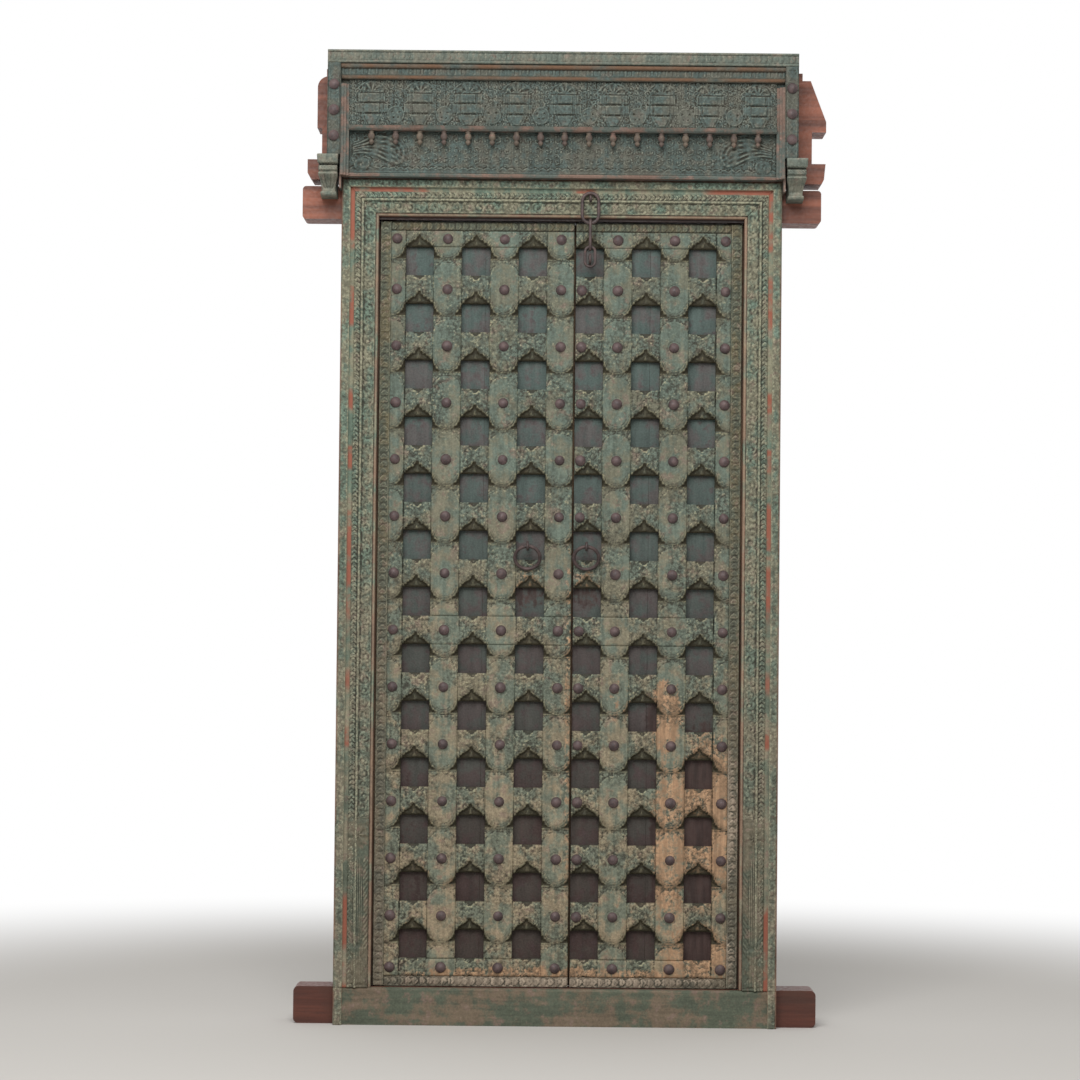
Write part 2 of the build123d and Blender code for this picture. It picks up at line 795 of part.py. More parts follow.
# Strip nailed behind the split of the right leaf: it laps behind the planks of the left one
with BuildPart() as meeting_cover:
    with BuildSketch(Plane.XY.offset(leaf_bottom)):
        with BuildLine():
            near, far, step = split_x - cover_width / 2, split_x + cover_width / 2, split_right - 0.8
            y = plank_back
            Polyline(
                (near, y + cover_clear), (step, y + cover_clear), (step, y), (far, y),
                (far, y + cover_thick), (near, y + cover_thick), close=True,
            )
        make_face()
    extrude(amount=leaf_height)
finished["meeting_cover"] = meeting_cover

# Forged bars for the ring pulls, their eyes, the chain and its staples
def half_turn(middle, radius, first):
    # Corners of a half turn of six straight runs that touch the circle
    reach = radius / cos(radians(15))
    angles = [radians(first + 15 + 30 * n) for n in range(6)]
    return [(middle[0] + reach * cos(a), middle[1] + reach * sin(a)) for a in angles]


def bent_bar(plane, corners, wire, closed):
    # Six-sided bar along straight runs, mitred where they meet, with an edge facing inwards
    with BuildPart() as bar:
        with BuildLine(plane) as path:
            if closed:
                (a, b), (c, d) = corners[:2]
                Polyline(((a + c) / 2, (b + d) / 2), *corners[1:], corners[0], close=True)
            else:
                Polyline(*corners)
        with BuildSketch(Plane(path.line @ 0, x_dir=plane.z_dir, z_dir=path.line % 0)):
            RegularPolygon(radius=wire, side_count=6, rotation=30)
        sweep(transition=Transition.RIGHT)
    return bar


# Ring pulls and their eyes: the ring's wire lies in the bottom of the eye's hole
for name, x in (("left", ring_left_x), ("right", ring_right_x)):
    eye_z = ring_axis_z - ring_wire - ring_clear + eye_radius - eye_wire
    across = Plane(origin=(x, ring_axis_y, eye_z), x_dir=(0, 1, 0), z_dir=(1, 0, 0))
    turns = half_turn((0, 0), eye_radius, 0) + half_turn((0, 0), eye_radius, 180)
    with BuildPart() as eye:
        add(bent_bar(across, turns, eye_wire, True).part)
        shank = plank_front - (ring_axis_y + eye_radius)
        with Locations((x, ring_axis_y + eye_radius + shank / 2, eye_z)):
            Box(eye_shank - 2, shank, eye_shank)
    finished["ring_eye_" + name] = eye
    face_on = Plane(origin=(x, ring_axis_y, ring_axis_z - ring_radius), x_dir=(1, 0, 0), z_dir=(0, -1, 0))
    reach = ring_radius / cos(radians(180 / ring_sides))
    angles = [radians(360 * (n + 0.5) / ring_sides) for n in range(ring_sides)]
    corners = [(reach * cos(a), reach * sin(a)) for a in angles]
    leaned = bent_bar(face_on, corners, ring_wire, True).part
    with BuildPart() as ring_pull:
        add(leaned.rotate(Axis((x, ring_axis_y, ring_axis_z), (1, 0, 0)), ring_lean))
    finished["ring_pull_" + name] = ring_pull


# Chain: a link is two half turns joined by straight sides
def make_link(plane_x, centre_z, width, height, wire, across):
    facing = Vector(*across).cross(Vector(0, 0, 1))
    plane = Plane(origin=(plane_x, chain_y, centre_z), x_dir=across, z_dir=facing)
    radius = width / 2 - wire
    straight = height / 2 - wire - radius
    corners = half_turn((0, straight), radius, 0) + half_turn((0, -straight), radius, 180)
    return bent_bar(plane, corners[-1:] + corners[:-1], wire, True)


top_inner = staple_z + staple_width / 2 + chain_clear  # underside of the wire of the oval link's crown
oval_low = top_inner + link_wire * 2 - link_height
oval_seat = oval_low + link_wire * 2 + chain_clear
middle_low = oval_seat + middle_wire * 2 - middle_height
middle_seat = middle_low + middle_wire * 2 + chain_clear
last_low = middle_seat + last_wire * 2 - last_height
oval_link = make_link(chain_x, oval_low + link_height / 2, link_width, link_height, link_wire, (1, 0, 0))
middle_link = make_link(
    chain_x, middle_low + middle_height / 2, middle_width, middle_height, middle_wire, (0, 1, 0)
)
last_link = make_link(chain_x, last_low + last_height / 2, last_width, last_height, last_wire, (1, 0, 0))

# Staples: a bar bent into a loop that stands upright, with its two legs driven into the wood
def make_staple(centre_z, width, wire, tip, seat):
    r = width / 2 - wire
    bend = tip + wire + r
    plane = Plane(origin=(chain_x, 0, centre_z), x_dir=(0, 1, 0), z_dir=(1, 0, 0))
    return bent_bar(plane, [(seat, r), *half_turn((bend, 0), r, 90), (seat, -r)], wire, False)


# The one in the head board stands in the ridge, the one on the leaf in the floor of a recess
hasp_z = last_low + last_wire * 2 + hasp_width / 2 + hasp_play
lintel_staple = make_staple(staple_z, staple_width, staple_wire, staple_tip, -ridge_out)
hasp_staple = make_staple(hasp_z, hasp_width, hasp_wire, hasp_tip, plank_front)

finished.update(
    sill_beam=sill_beam, head_beam=head_beam, threshold_board=threshold_board,
    post_left=post_left, post_right=post_right, jamb_board_left=jamb_board_left,
    jamb_board_right=jamb_board_right, head_board=head_board, plinth_panel_left=plinth_panel_left,
    plinth_panel_right=plinth_panel_right, second_beam=second_beam, recessed_beam=recessed_beam,
    upper_beam=upper_beam, back_board=back_board, bottom_bead=bottom_bead, lower_frieze=lower_frieze,
    pendant_rail=pendant_rail, upper_frieze=upper_frieze, crown_moulding=crown_moulding,
    cornice_top_rail=cornice_top_rail, cornice_stile_left=cornice_stile_left,
    cornice_stile_right=cornice_stile_right, cornice_inner_mouldings=cornice_inner_mouldings,
    turned_pendants=turned_pendants, corbel_left=corbel_left, corbel_right=corbel_right,
    stile_studs=stile_studs, lintel_staple=lintel_staple, hasp_staple=hasp_staple,
    oval_link=oval_link, middle_link=middle_link, last_link=last_link,
)
for name, piece in finished.items():
    piece.part.label = name
    export_step(piece.part, f"parts/{name}.step")
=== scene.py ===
import bpy, bmesh, math, random
import numpy as np
from mathutils import Matrix, Vector, noise


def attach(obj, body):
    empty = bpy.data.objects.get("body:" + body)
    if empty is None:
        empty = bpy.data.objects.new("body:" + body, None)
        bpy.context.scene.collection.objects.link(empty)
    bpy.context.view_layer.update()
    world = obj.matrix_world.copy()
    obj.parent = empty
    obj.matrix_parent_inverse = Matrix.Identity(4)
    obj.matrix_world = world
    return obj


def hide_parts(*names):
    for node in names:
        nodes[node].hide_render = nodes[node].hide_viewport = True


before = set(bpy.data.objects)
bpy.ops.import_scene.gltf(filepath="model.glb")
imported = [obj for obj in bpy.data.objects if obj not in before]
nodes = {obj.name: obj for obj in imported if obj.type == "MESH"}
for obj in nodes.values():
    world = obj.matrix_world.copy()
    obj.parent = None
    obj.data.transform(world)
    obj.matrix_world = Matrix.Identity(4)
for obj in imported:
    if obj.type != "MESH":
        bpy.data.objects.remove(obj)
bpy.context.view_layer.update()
mm = 0.001  # sizes of pieces are in millimetres, the scene is in metres
handRandom = random.Random(11)
noise.seed_set(11)  # for the dents in the forged iron

# camera, light and floor, in metres and degrees
view = {"place": (-0.05, -8.0, 1.064), "lens": 99.97, "up": 1.616, "roll": 0.555}
studio = {
    "sky": 0.58, "keyPower": 300.0, "keyPlace": (-0.6, -4.3, 4.6), "keyAim": (0, 0, 1.3), "keySize": 3.2,
    "floorRadius": 4.0, "floorFade": 1.6, "floorColour": (0.50, 0.48, 0.45, 1), "floorRoughness": 0.9,
}


def addToScene(name, data):
    made = bpy.data.objects.new(name, data)
    bpy.context.scene.collection.objects.link(made)
    return made


def put(tree, kind, settings=None, **values):  # a shader node with its properties and inputs
    node = tree.nodes.new("ShaderNode" + kind)
    for key, value in (settings or {}).items():
        setattr(node, key, value)
    for key, value in values.items():
        feed(tree, node.inputs[key.replace("_", " ")], value)
    return node


def feed(tree, socket, value):
    if isinstance(value, bpy.types.NodeSocket):
        tree.links.new(value, socket)
    elif isinstance(value, tuple) and socket.type == "RGBA":
        socket.default_value = (*value[:3], 1)
    else:
        socket.default_value = value


def calc(tree, what, a, b=0.0, clamp=False):  # one Math node
    node = tree.nodes.new("ShaderNodeMath")
    node.operation, node.use_clamp = what, clamp
    feed(tree, node.inputs[0], a)
    feed(tree, node.inputs[1], b)
    return node.outputs[0]


def times(tree, a, b):
    return calc(tree, "MULTIPLY", a, b)


def plus(tree, a, b):
    return calc(tree, "ADD", a, b)


def weigh(tree, *pairs):  # sum of values, each times its weight
    total = times(tree, *pairs[0])
    for value, weight in pairs[1:]:
        total = plus(tree, total, times(tree, value, weight))
    return total


def offset(tree, value, *pairs):  # value moved by noises that are 0.5 on average
    for wave, amount in pairs:
        value = plus(tree, value, times(tree, calc(tree, "SUBTRACT", wave, 0.5), amount))
    return value


def mixColour(tree, fac, a, b):
    node = tree.nodes.new("ShaderNodeMix")
    node.data_type, node.clamp_factor = "RGBA", True
    feed(tree, node.inputs[0], fac)
    feed(tree, node.inputs[6], a)
    feed(tree, node.inputs[7], b)
    return node.outputs[2]


def brighten(tree, colour, factor):
    node = put(tree, "VectorMath", {"operation": "SCALE"}, Scale=factor)
    feed(tree, node.inputs[0], colour)
    return node.outputs[0]


def spread(tree, value, low, high, outLow=0.0, outHigh=1.0):  # smooth remap, clamped
    node = put(tree, "MapRange", {"interpolation_type": "SMOOTHSTEP"}, Value=value)
    for key, number in (("From Min", low), ("From Max", high), ("To Min", outLow), ("To Max", outHigh)):
        feed(tree, node.inputs[key], number)
    return node.outputs[0]


def cloud(tree, where, scale, detail=3.0, rough=0.55):
    return put(tree, "TexNoise", None, Vector=where, Scale=scale, Detail=detail, Roughness=rough).outputs["Fac"]


camData = bpy.data.cameras.new("doorCamera")
camData.lens = view["lens"]
camera = addToScene("doorCamera", camData)
camera.matrix_world = (
    Matrix.Translation(view["place"])
    @ Matrix.Rotation(math.radians(90 + view["up"]), 4, "X")
    @ Matrix.Rotation(math.radians(view["roll"]), 4, "Z")
)
bpy.context.scene.camera = camera
bpy.context.scene.view_settings.view_transform = "Standard"

world = bpy.data.worlds.new("studioSky")
bpy.context.scene.world = world
world.use_nodes = True
sky = world.node_tree
skyBack = sky.nodes["Background"]
paths = sky.nodes.new("ShaderNodeLightPath")
seen = calc(sky, "ADD", paths.outputs["Is Camera Ray"], paths.outputs["Is Glossy Ray"], clamp=True)
feed(sky, skyBack.inputs["Color"], (1.0, 1.0, 1.0))
feed(sky, skyBack.inputs["Strength"], calc(sky, "MAXIMUM", seen, studio["sky"]))
keyData = bpy.data.lights.new("keyLamp", "AREA")
keyData.energy, keyData.size = studio["keyPower"], studio["keySize"]
keyTurn = (Vector(studio["keyAim"]) - Vector(studio["keyPlace"])).to_track_quat("-Z", "Y")
addToScene("keyLamp", keyData).matrix_world = Matrix.Translation(studio["keyPlace"]) @ keyTurn.to_matrix().to_4x4()

floorBm = bmesh.new()
bmesh.ops.create_circle(floorBm, cap_ends=True, radius=studio["floorRadius"], segments=64)
floorMesh = bpy.data.meshes.new("studioFloor")
floorBm.to_mesh(floorMesh)
floorBm.free()
studioFloor = addToScene("studioFloor", floorMesh)
floorMat = bpy.data.materials.new("paleFloor")
floorMat.use_nodes = True
floorTree = floorMat.node_tree
floorShader = floorTree.nodes["Principled BSDF"]
floorShader.inputs["Base Color"].default_value = studio["floorColour"]
floorShader.inputs["Roughness"].default_value = studio["floorRoughness"]
white = put(floorTree, "Emission", None, Color=(1.0, 1.0, 1.0), Strength=1.0)
fromDoor = put(floorTree, "VectorMath", {"operation": "LENGTH"})
feed(floorTree, fromDoor.inputs[0], floorTree.nodes.new("ShaderNodeTexCoord").outputs["Object"])
rim = spread(floorTree, fromDoor.outputs["Value"], studio["floorFade"], studio["floorRadius"] - 0.05)
blend = put(floorTree, "MixShader", None, Fac=rim)
feed(floorTree, blend.inputs[1], floorShader.outputs[0])
feed(floorTree, blend.inputs[2], white.outputs[0])
feed(floorTree, floorTree.nodes["Material Output"].inputs["Surface"], blend.outputs[0])
floorMesh.materials.append(floorMat)
print("camera, light and floor ready")

# shared finishes: masks over the door, grain, worn paint with painted highlights and painted shade, fine chip carving
# with painted shade in its pits


def startGroup(name, takes, gives):
    group = bpy.data.node_groups.new(name, "ShaderNodeTree")
    for label, kind, value in takes:
        socket = group.interface.new_socket(label, in_out="INPUT", socket_type="NodeSocket" + kind)
        if value is not None:
            socket.default_value = (*value, 1) if kind == "Color" else value
    for label, kind in gives:
        group.interface.new_socket(label, in_out="OUTPUT", socket_type="NodeSocket" + kind)
    return group, group.nodes.new("NodeGroupInput").outputs, group.nodes.new("NodeGroupOutput").inputs


def useGroup(tree, group, **values):
    node = tree.nodes.new("ShaderNodeGroup")
    node.node_tree = group
    for key, value in values.items():
        feed(tree, node.inputs[key], value)
    return node.outputs


# where the door is bare: metres across and up, half sizes, how strongly
barePatches = [
    ((0.290, 0.820), (0.070, 0.150), 0.85),
    ((0.400, 0.550), (0.120, 0.350), 0.88),
    ((0.300, 0.480), (0.070, 0.360), 0.80),
    ((0.380, 0.190), (0.150, 0.120), 0.85),
    ((0.165, 0.860), (0.050, 0.100), 0.50),
    ((0.150, 0.300), (0.100, 0.200), 0.40),
    ((0.075, 1.165), (0.058, 0.085), 0.60),
    ((-0.080, 1.160), (0.062, 0.090), 0.60),
    ((0.030, 0.800), (0.018, 0.800), 0.65),
    ((-0.340, 0.380), (0.130, 0.260), 0.40),
    ((-0.410, 0.560), (0.060, 0.240), 0.40),
    ((0.000, 0.125), (0.600, 0.045), 0.85),
]


def buildDoorZones():  # Low is 1 near the foot of the door, Bare is 1 in the bare patches
    group, takes, gives = startGroup("doorZones", [("Place", "Vector", None)], [("Low", "Float"), ("Bare", "Float")])
    place = takes["Place"]
    parts = put(group, "SeparateXYZ", None, Vector=place).outputs
    height = offset(group, parts["Z"], (cloud(group, place, 2.6, 2.0), 0.9))
    feed(group, gives["Low"], spread(group, height, 1.75, 0.15))
    total = 0.0
    for middle, half, strength in barePatches:
        dx, dz = (calc(group, "DIVIDE", calc(group, "SUBTRACT", parts[axis], at), size)
                  for axis, at, size in zip("XZ", middle, half))
        far = plus(group, times(group, dx, dx), times(group, dz, dz))
        total = calc(group, "MAXIMUM", total, spread(group, far, 1.0, 0.1, 0.0, strength))
    feed(group, gives["Bare"], total)
    return group


def buildTimberGrain():  # grain along one axis, which the Place given to it is stretched along
    group, takes, gives = startGroup(
        "timberGrain",
        [("Place", "Vector", None), ("Pale", "Color", (0.3, 0.16, 0.08)), ("Deep", "Color", (0.09, 0.04, 0.02))],
        [("Color", "Color"), ("Height", "Float"), ("Lines", "Float")],
    )
    place = takes["Place"]
    fine = cloud(group, place, 1.0, 5.0, 0.65)
    wide = cloud(group, place, 0.22, 3.0, 0.6)
    ring = put(group, "TexWave", {"wave_type": "BANDS", "bands_direction": "Y"}, Vector=place, Scale=0.12,
               Distortion=9.0, Detail=3.0, Detail_Scale=0.8).outputs["Fac"]
    lines = weigh(group, (fine, 0.6), (ring, 0.4))
    tone = weigh(group, (lines, 0.6), (wide, 0.5))
    feed(group, gives["Color"], mixColour(group, spread(group, tone, 0.32, 0.75), takes["Deep"], takes["Pale"]))
    feed(group, gives["Height"], lines)
    feed(group, gives["Lines"], spread(group, fine, 0.42, 0.3))
    return group


def buildWornPaintAndShade():  # two paints, cream on the high parts as worn paint and painted highlight, bare wood in patches, grime and painted shade in the hollows
    group, takes, gives = startGroup(
        "wornPaintAndShade",
        [("Place", "Vector", None), ("Relief", "Float", 0.5), ("Bare", "Float", 0.0),
         ("Fresh", "Color", (0.1, 0.14, 0.12)), ("Faded", "Color", (0.12, 0.12, 0.09)),
         ("Blush", "Color", (0.16, 0.11, 0.095)), ("CreamAndHighlight", "Color", (0.3, 0.28, 0.2)),
         ("GrimeAndShade", "Color", (0.025, 0.022, 0.016)), ("Wood", "Color", (0.26, 0.16, 0.1)),
         ("Along", "Vector", (60.0, 60.0, 5.0)), ("WearAndHighlight", "Float", 0.5), ("DirtAndShade", "Float", 0.5)],
        [("Color", "Color"), ("Roughness", "Float"), ("Height", "Float")],
    )
    place, relief = takes["Place"], takes["Relief"]
    scaled = put(group, "VectorMath", {"operation": "MULTIPLY"})
    feed(group, scaled.inputs[0], place)
    feed(group, scaled.inputs[1], takes["Along"])
    streak = cloud(group, scaled.outputs[0], 1.0, 4.0, 0.6)
    patches = cloud(group, place, 11.0, 5.0, 0.6)
    smudge = cloud(group, place, 31.0, 4.0, 0.6)
    speck = cloud(group, place, 210.0, 3.0, 0.6)
    flake = cloud(group, place, 62.0, 4.0, 0.65)

    fading = spread(group, offset(group, patches, (smudge, 0.6), (streak, 0.3)), 0.40, 0.60)
    colour = mixColour(group, fading, takes["Fresh"], takes["Faded"])
    blushing = spread(group, offset(group, smudge, (flake, 0.5)), 0.56, 0.74, 0.0, 0.55)
    colour = mixColour(group, blushing, colour, takes["Blush"])
    colour = brighten(group, colour, offset(group, 1.0, (speck, 1.0), (streak, 0.9), (smudge, 0.6)))
    # cream on the high parts: worn paint and painted highlight
    high = spread(group, offset(group, relief, (flake, 0.7), (speck, 0.5)), 0.56, 0.92)
    colour = mixColour(group, times(group, high, takes["WearAndHighlight"]), colour, takes["CreamAndHighlight"])
    bare = offset(group, takes["Bare"], (flake, 1.1), (streak, 0.9), (relief, 0.5))
    bare = spread(group, bare, 0.5, 0.85, 0.0, 0.85)
    wood = brighten(group, takes["Wood"], spread(group, streak, 0.35, 0.65, 1.15, 0.6))
    colour = mixColour(group, bare, colour, wood)
    # grime and painted shade in the hollows, less on bare wood
    low = spread(group, offset(group, relief, (patches, 0.4), (streak, 0.25)), 0.48, 0.14)
    clean = calc(group, "SUBTRACT", 1.0, times(group, bare, 0.5))
    dirtandshade = times(group, times(group, low, takes["DirtAndShade"]), clean)
    feed(group, gives["Color"], mixColour(group, dirtandshade, colour, takes["GrimeAndShade"]))
    feed(group, gives["Roughness"], spread(group, flake, 0.3, 0.7, 0.62, 0.85))
    feed(group, gives["Height"], weigh(group, (flake, 0.8), (speck, 0.35), (streak, 0.45)))
    return group


def buildChipCarving():  # fine chip carving, too small for the mesh; Pits marks its pits, which get painted shade
    group, takes, gives = startGroup(
        "chipCarving", [("Place", "Vector", None), ("Scale", "Float", 95.0)], [("Height", "Float"), ("Pits", "Float")]
    )
    cells = put(group, "TexVoronoi", {"feature": "SMOOTH_F1"}, Vector=takes["Place"], Scale=takes["Scale"])
    cells.inputs["Randomness"].default_value = 0.85
    wave = put(group, "TexNoise", None, Vector=takes["Place"], Scale=takes["Scale"], Detail=2.0, Distortion=2.2)
    height = weigh(group, (wave.outputs["Fac"], 0.8), (cells.outputs["Distance"], -0.7))
    feed(group, gives["Height"], height)
    feed(group, gives["Pits"], spread(group, height, 0.22, 0.02))
    return group


doorZones = buildDoorZones()
timberGrain = buildTimberGrain()
wornPaintAndShade = buildWornPaintAndShade()
chipCarving = buildChipCarving()

# paints: fresh and faded colours, with their own values low on the door; carved ones show chip carving
paintDefaults = {
    # the cream colour is worn paint and painted highlight on the ridges
    "carved": True, "bare": 1.0, "bareBase": 0.0, "blush": (0.165, 0.112, 0.094), "creamandhighlight": (0.29, 0.275, 0.195),
    # the grime colour is grime and painted shade in the hollows
    "grimeandshade": (0.024, 0.021, 0.014), "wood": (0.430, 0.255, 0.145), "along": (70.0, 70.0, 6.0), "wearandhighlight": 0.6,
    # the pit colour is painted shade in the pits of the chip carving
    "dirtandshade": 0.85, "chipScale": 95.0, "chipBump": 1.4, "pits": 0.45, "pitShadeColour": (0.03, 0.028, 0.02),
    "tint": (0.1, 0.09, 0.05), "tintRange": (0.3, 0.6), "bumpDepth": 0.0014, "specular": 0.25,
}
paints = {
    "latticePaint": {
        "fresh": (0.110, 0.141, 0.112), "freshLow": (0.150, 0.164, 0.120), "faded": (0.130, 0.131, 0.092),
        "fadedLow": (0.262, 0.208, 0.134), "wearandhighlight": 0.85, "chips": 1.1, "chipScale": 135.0, "chipBump": 1.8,
        # tint here is near black: painted shade and grime in the notches
        "tint": (0.034, 0.028, 0.014), "tintRange": (0.1, 0.4), "creamandhighlight": (0.32, 0.30, 0.19),
    },
    "borderPaint": {
        "fresh": (0.085, 0.095, 0.066), "freshLow": (0.115, 0.105, 0.078), "faded": (0.105, 0.090, 0.050),
        "fadedLow": (0.150, 0.125, 0.088), "wearandhighlight": 0.45, "chips": 0.5, "chipScale": 120.0,
        "wood": (0.400, 0.320, 0.240),
    },
    "framePaint": {
        "fresh": (0.125, 0.175, 0.132), "freshLow": (0.140, 0.158, 0.116), "faded": (0.190, 0.182, 0.124),
        "fadedLow": (0.215, 0.188, 0.132), "wearandhighlight": 0.70, "bare": 0.3, "chips": 0.55, "chipScale": 120.0,
        "tint": (0.250, 0.086, 0.054), "tintRange": (0.36, 0.52), "creamandhighlight": (0.30, 0.29, 0.20),
    },
    "plinthPaint": {
        "fresh": (0.082, 0.100, 0.075), "freshLow": (0.086, 0.098, 0.070), "faded": (0.120, 0.112, 0.078),
        "fadedLow": (0.130, 0.112, 0.076), "bare": 0.2, "chips": 0.4, "chipScale": 130.0,
    },
    "cornicePaint": {
        "fresh": (0.064, 0.090, 0.081), "freshLow": (0.072, 0.090, 0.081), "faded": (0.084, 0.086, 0.068),
        "fadedLow": (0.080, 0.085, 0.070), "bare": 0.0, "chips": 0.6, "chipScale": 140.0, "dirtandshade": 1.0,
        "tint": (0.135, 0.074, 0.042), "tintRange": (0.25, 0.6), "creamandhighlight": (0.200, 0.208, 0.165),
        "blush": (0.085, 0.074, 0.064),
    },
    "topRailPaint": {
        "fresh": (0.100, 0.122, 0.100), "faded": (0.130, 0.128, 0.098), "bare": 0.0, "chips": 0.4,
        "chipScale": 130.0, "creamandhighlight": (0.26, 0.26, 0.20),
    },
    # the corbels' paint is lighter than the cornice's: painted light, making up for the shade on their downward-facing
    # bells
    "corbelLitPaint": {
        "fresh": (0.130, 0.150, 0.124), "faded": (0.180, 0.178, 0.138), "bare": 0.0, "chips": 0.3,
        "chipScale": 130.0, "creamandhighlight": (0.34, 0.34, 0.27),
    },
    "recessPaint": {
        "carved": False, "fresh": (0.064, 0.088, 0.079), "freshLow": (0.048, 0.036, 0.030),
        "faded": (0.076, 0.072, 0.068), "fadedLow": (0.042, 0.025, 0.022), "blush": (0.060, 0.042, 0.042),
        "creamandhighlight": (0.12, 0.13, 0.12), "bareBase": 0.18, "wood": (0.050, 0.030, 0.026), "wearandhighlight": 0.3, "dirtandshade": 0.4,
        "along": (55.0, 55.0, 7.0), "bumpDepth": 0.002,
    },
    "railPaint": {
        "carved": False, "fresh": (0.085, 0.100, 0.086), "freshLow": (0.105, 0.095, 0.072),
        "faded": (0.150, 0.098, 0.075), "fadedLow": (0.160, 0.110, 0.080), "bare": 0.0, "wearandhighlight": 0.4, "dirtandshade": 0.5,
        "along": (6.0, 70.0, 70.0),
    },
    "pendantPaint": {
        "carved": False, "fresh": (0.085, 0.062, 0.052), "faded": (0.115, 0.092, 0.068),
        "blush": (0.150, 0.075, 0.062), "bare": 0.0, "wearandhighlight": 0.4, "dirtandshade": 0.6, "along": (50.0, 50.0, 50.0),
    },
    "thresholdPaint": {
        "carved": False, "fresh": (0.078, 0.098, 0.070), "freshLow": (0.082, 0.094, 0.066),
        "faded": (0.130, 0.100, 0.066), "fadedLow": (0.135, 0.103, 0.070), "bare": 0.2, "wearandhighlight": 0.3, "dirtandshade": 0.5,
        "along": (5.0, 70.0, 70.0), "bumpDepth": 0.002,
    },
}
oldPine = {"pale": (0.210, 0.140, 0.085), "deep": (0.085, 0.052, 0.032), "gloss": 0.65,
           "stainColour": (0.035, 0.028, 0.020)}
timbers = {
    "oiledTimber": {"stretch": (7.0, 110.0, 110.0), "pale": (0.240, 0.082, 0.047), "deep": (0.080, 0.027, 0.016),
                    "gloss": 0.45, "shadow": (0.492, 2.120, 2.170)},
    "sillTimber": {"stretch": (7.0, 110.0, 110.0), "pale": (0.128, 0.038, 0.022), "deep": (0.052, 0.017, 0.011),
                   "gloss": 0.42},
    "backTimber": {"stretch": (9.0, 90.0, 90.0), **oldPine},
    "uprightTimber": {"stretch": (90.0, 90.0, 9.0), **oldPine},
}
irons = {
    "studIron": {"dark": (0.040, 0.026, 0.026), "light": (0.092, 0.060, 0.058), "rust": (0.120, 0.066, 0.052)},
    "ringIron": {"dark": (0.026, 0.017, 0.016), "light": (0.072, 0.046, 0.042), "rust": (0.105, 0.056, 0.046)},
}
# relief puts cream, worn paint with painted highlight, on the ridges and grime with painted shade in the hollows; tint
# carries the painted shade and grime of the lattice notches and the real colour of grooves and bands
sheetValues = ("relief", "plain", "tint")  # painted onto the carved meshes


def startMaterial(name):
    mat = bpy.data.materials.new(name)
    mat.use_nodes = True
    tree = mat.node_tree
    place = tree.nodes.new("ShaderNodeTexCoord").outputs["Object"]
    return mat, tree, place, tree.nodes["Principled BSDF"]


def finishMaterial(tree, shader, colour, roughness, height, depth, specular=0.5):
    feed(tree, shader.inputs["Base Color"], colour)
    feed(tree, shader.inputs["Roughness"], roughness)
    bump = put(tree, "Bump", None, Height=height, Strength=1.0, Distance=depth)
    tree.links.new(bump.outputs[0], shader.inputs["Normal"])
    shader.inputs["Specular IOR Level"].default_value = specular


def paintedMaterial(name, given):
    look = {**paintDefaults, **given}
    mat, tree, place, shader = startMaterial(name)
    zones = useGroup(tree, doorZones, Place=place)
    settings = {key: look[key.lower()] for key in ("Blush", "CreamAndHighlight", "GrimeAndShade", "Wood", "Along", "WearAndHighlight", "DirtAndShade")}
    settings["Bare"] = plus(tree, times(tree, zones["Bare"], look["bare"]), look["bareBase"])
    for key, plainKey in (("Fresh", "fresh"), ("Faded", "faded")):
        settings[key] = mixColour(tree, zones["Low"], look[plainKey], look.get(plainKey + "Low", look[plainKey]))
    relief = 0.5
    if look["carved"]:
        chips = useGroup(tree, chipCarving, Place=place, Scale=look["chipScale"])
        relief, plain, tint = (put(tree, "Attribute", {"attribute_name": n}).outputs["Fac"] for n in sheetValues)
        rough = calc(tree, "SUBTRACT", 1.0, plain)
        ripple = times(tree, calc(tree, "SUBTRACT", chips["Height"], 0.15), times(tree, rough, look["chips"]))
        relief = plus(tree, relief, ripple)
    worn = useGroup(tree, wornPaintAndShade, Place=place, Relief=relief, **settings)
    colour, height = worn["Color"], times(tree, worn["Height"], 0.5)
    if look["carved"]:
        # tint: for the lattice, near-black painted shade and grime in the notches; for the frame and cornice, the real
        # red and tan of grooves, edges and bands
        tintAndShade = times(tree, tint, spread(tree, cloud(tree, place, 14.0, 4.0), *look["tintRange"]))
        colour = mixColour(tree, tintAndShade, colour, look["tint"])
        # the pits of the chip carving are darkened as painted shade
        pits = times(tree, chips["Pits"], times(tree, rough, look["pits"]))
        colour = mixColour(tree, pits, colour, look["pitShadeColour"])
        height = plus(tree, height, times(tree, chips["Height"], times(tree, rough, look["chipBump"])))
    finishMaterial(tree, shader, colour, worn["Roughness"], height, look["bumpDepth"], look["specular"])
    return mat


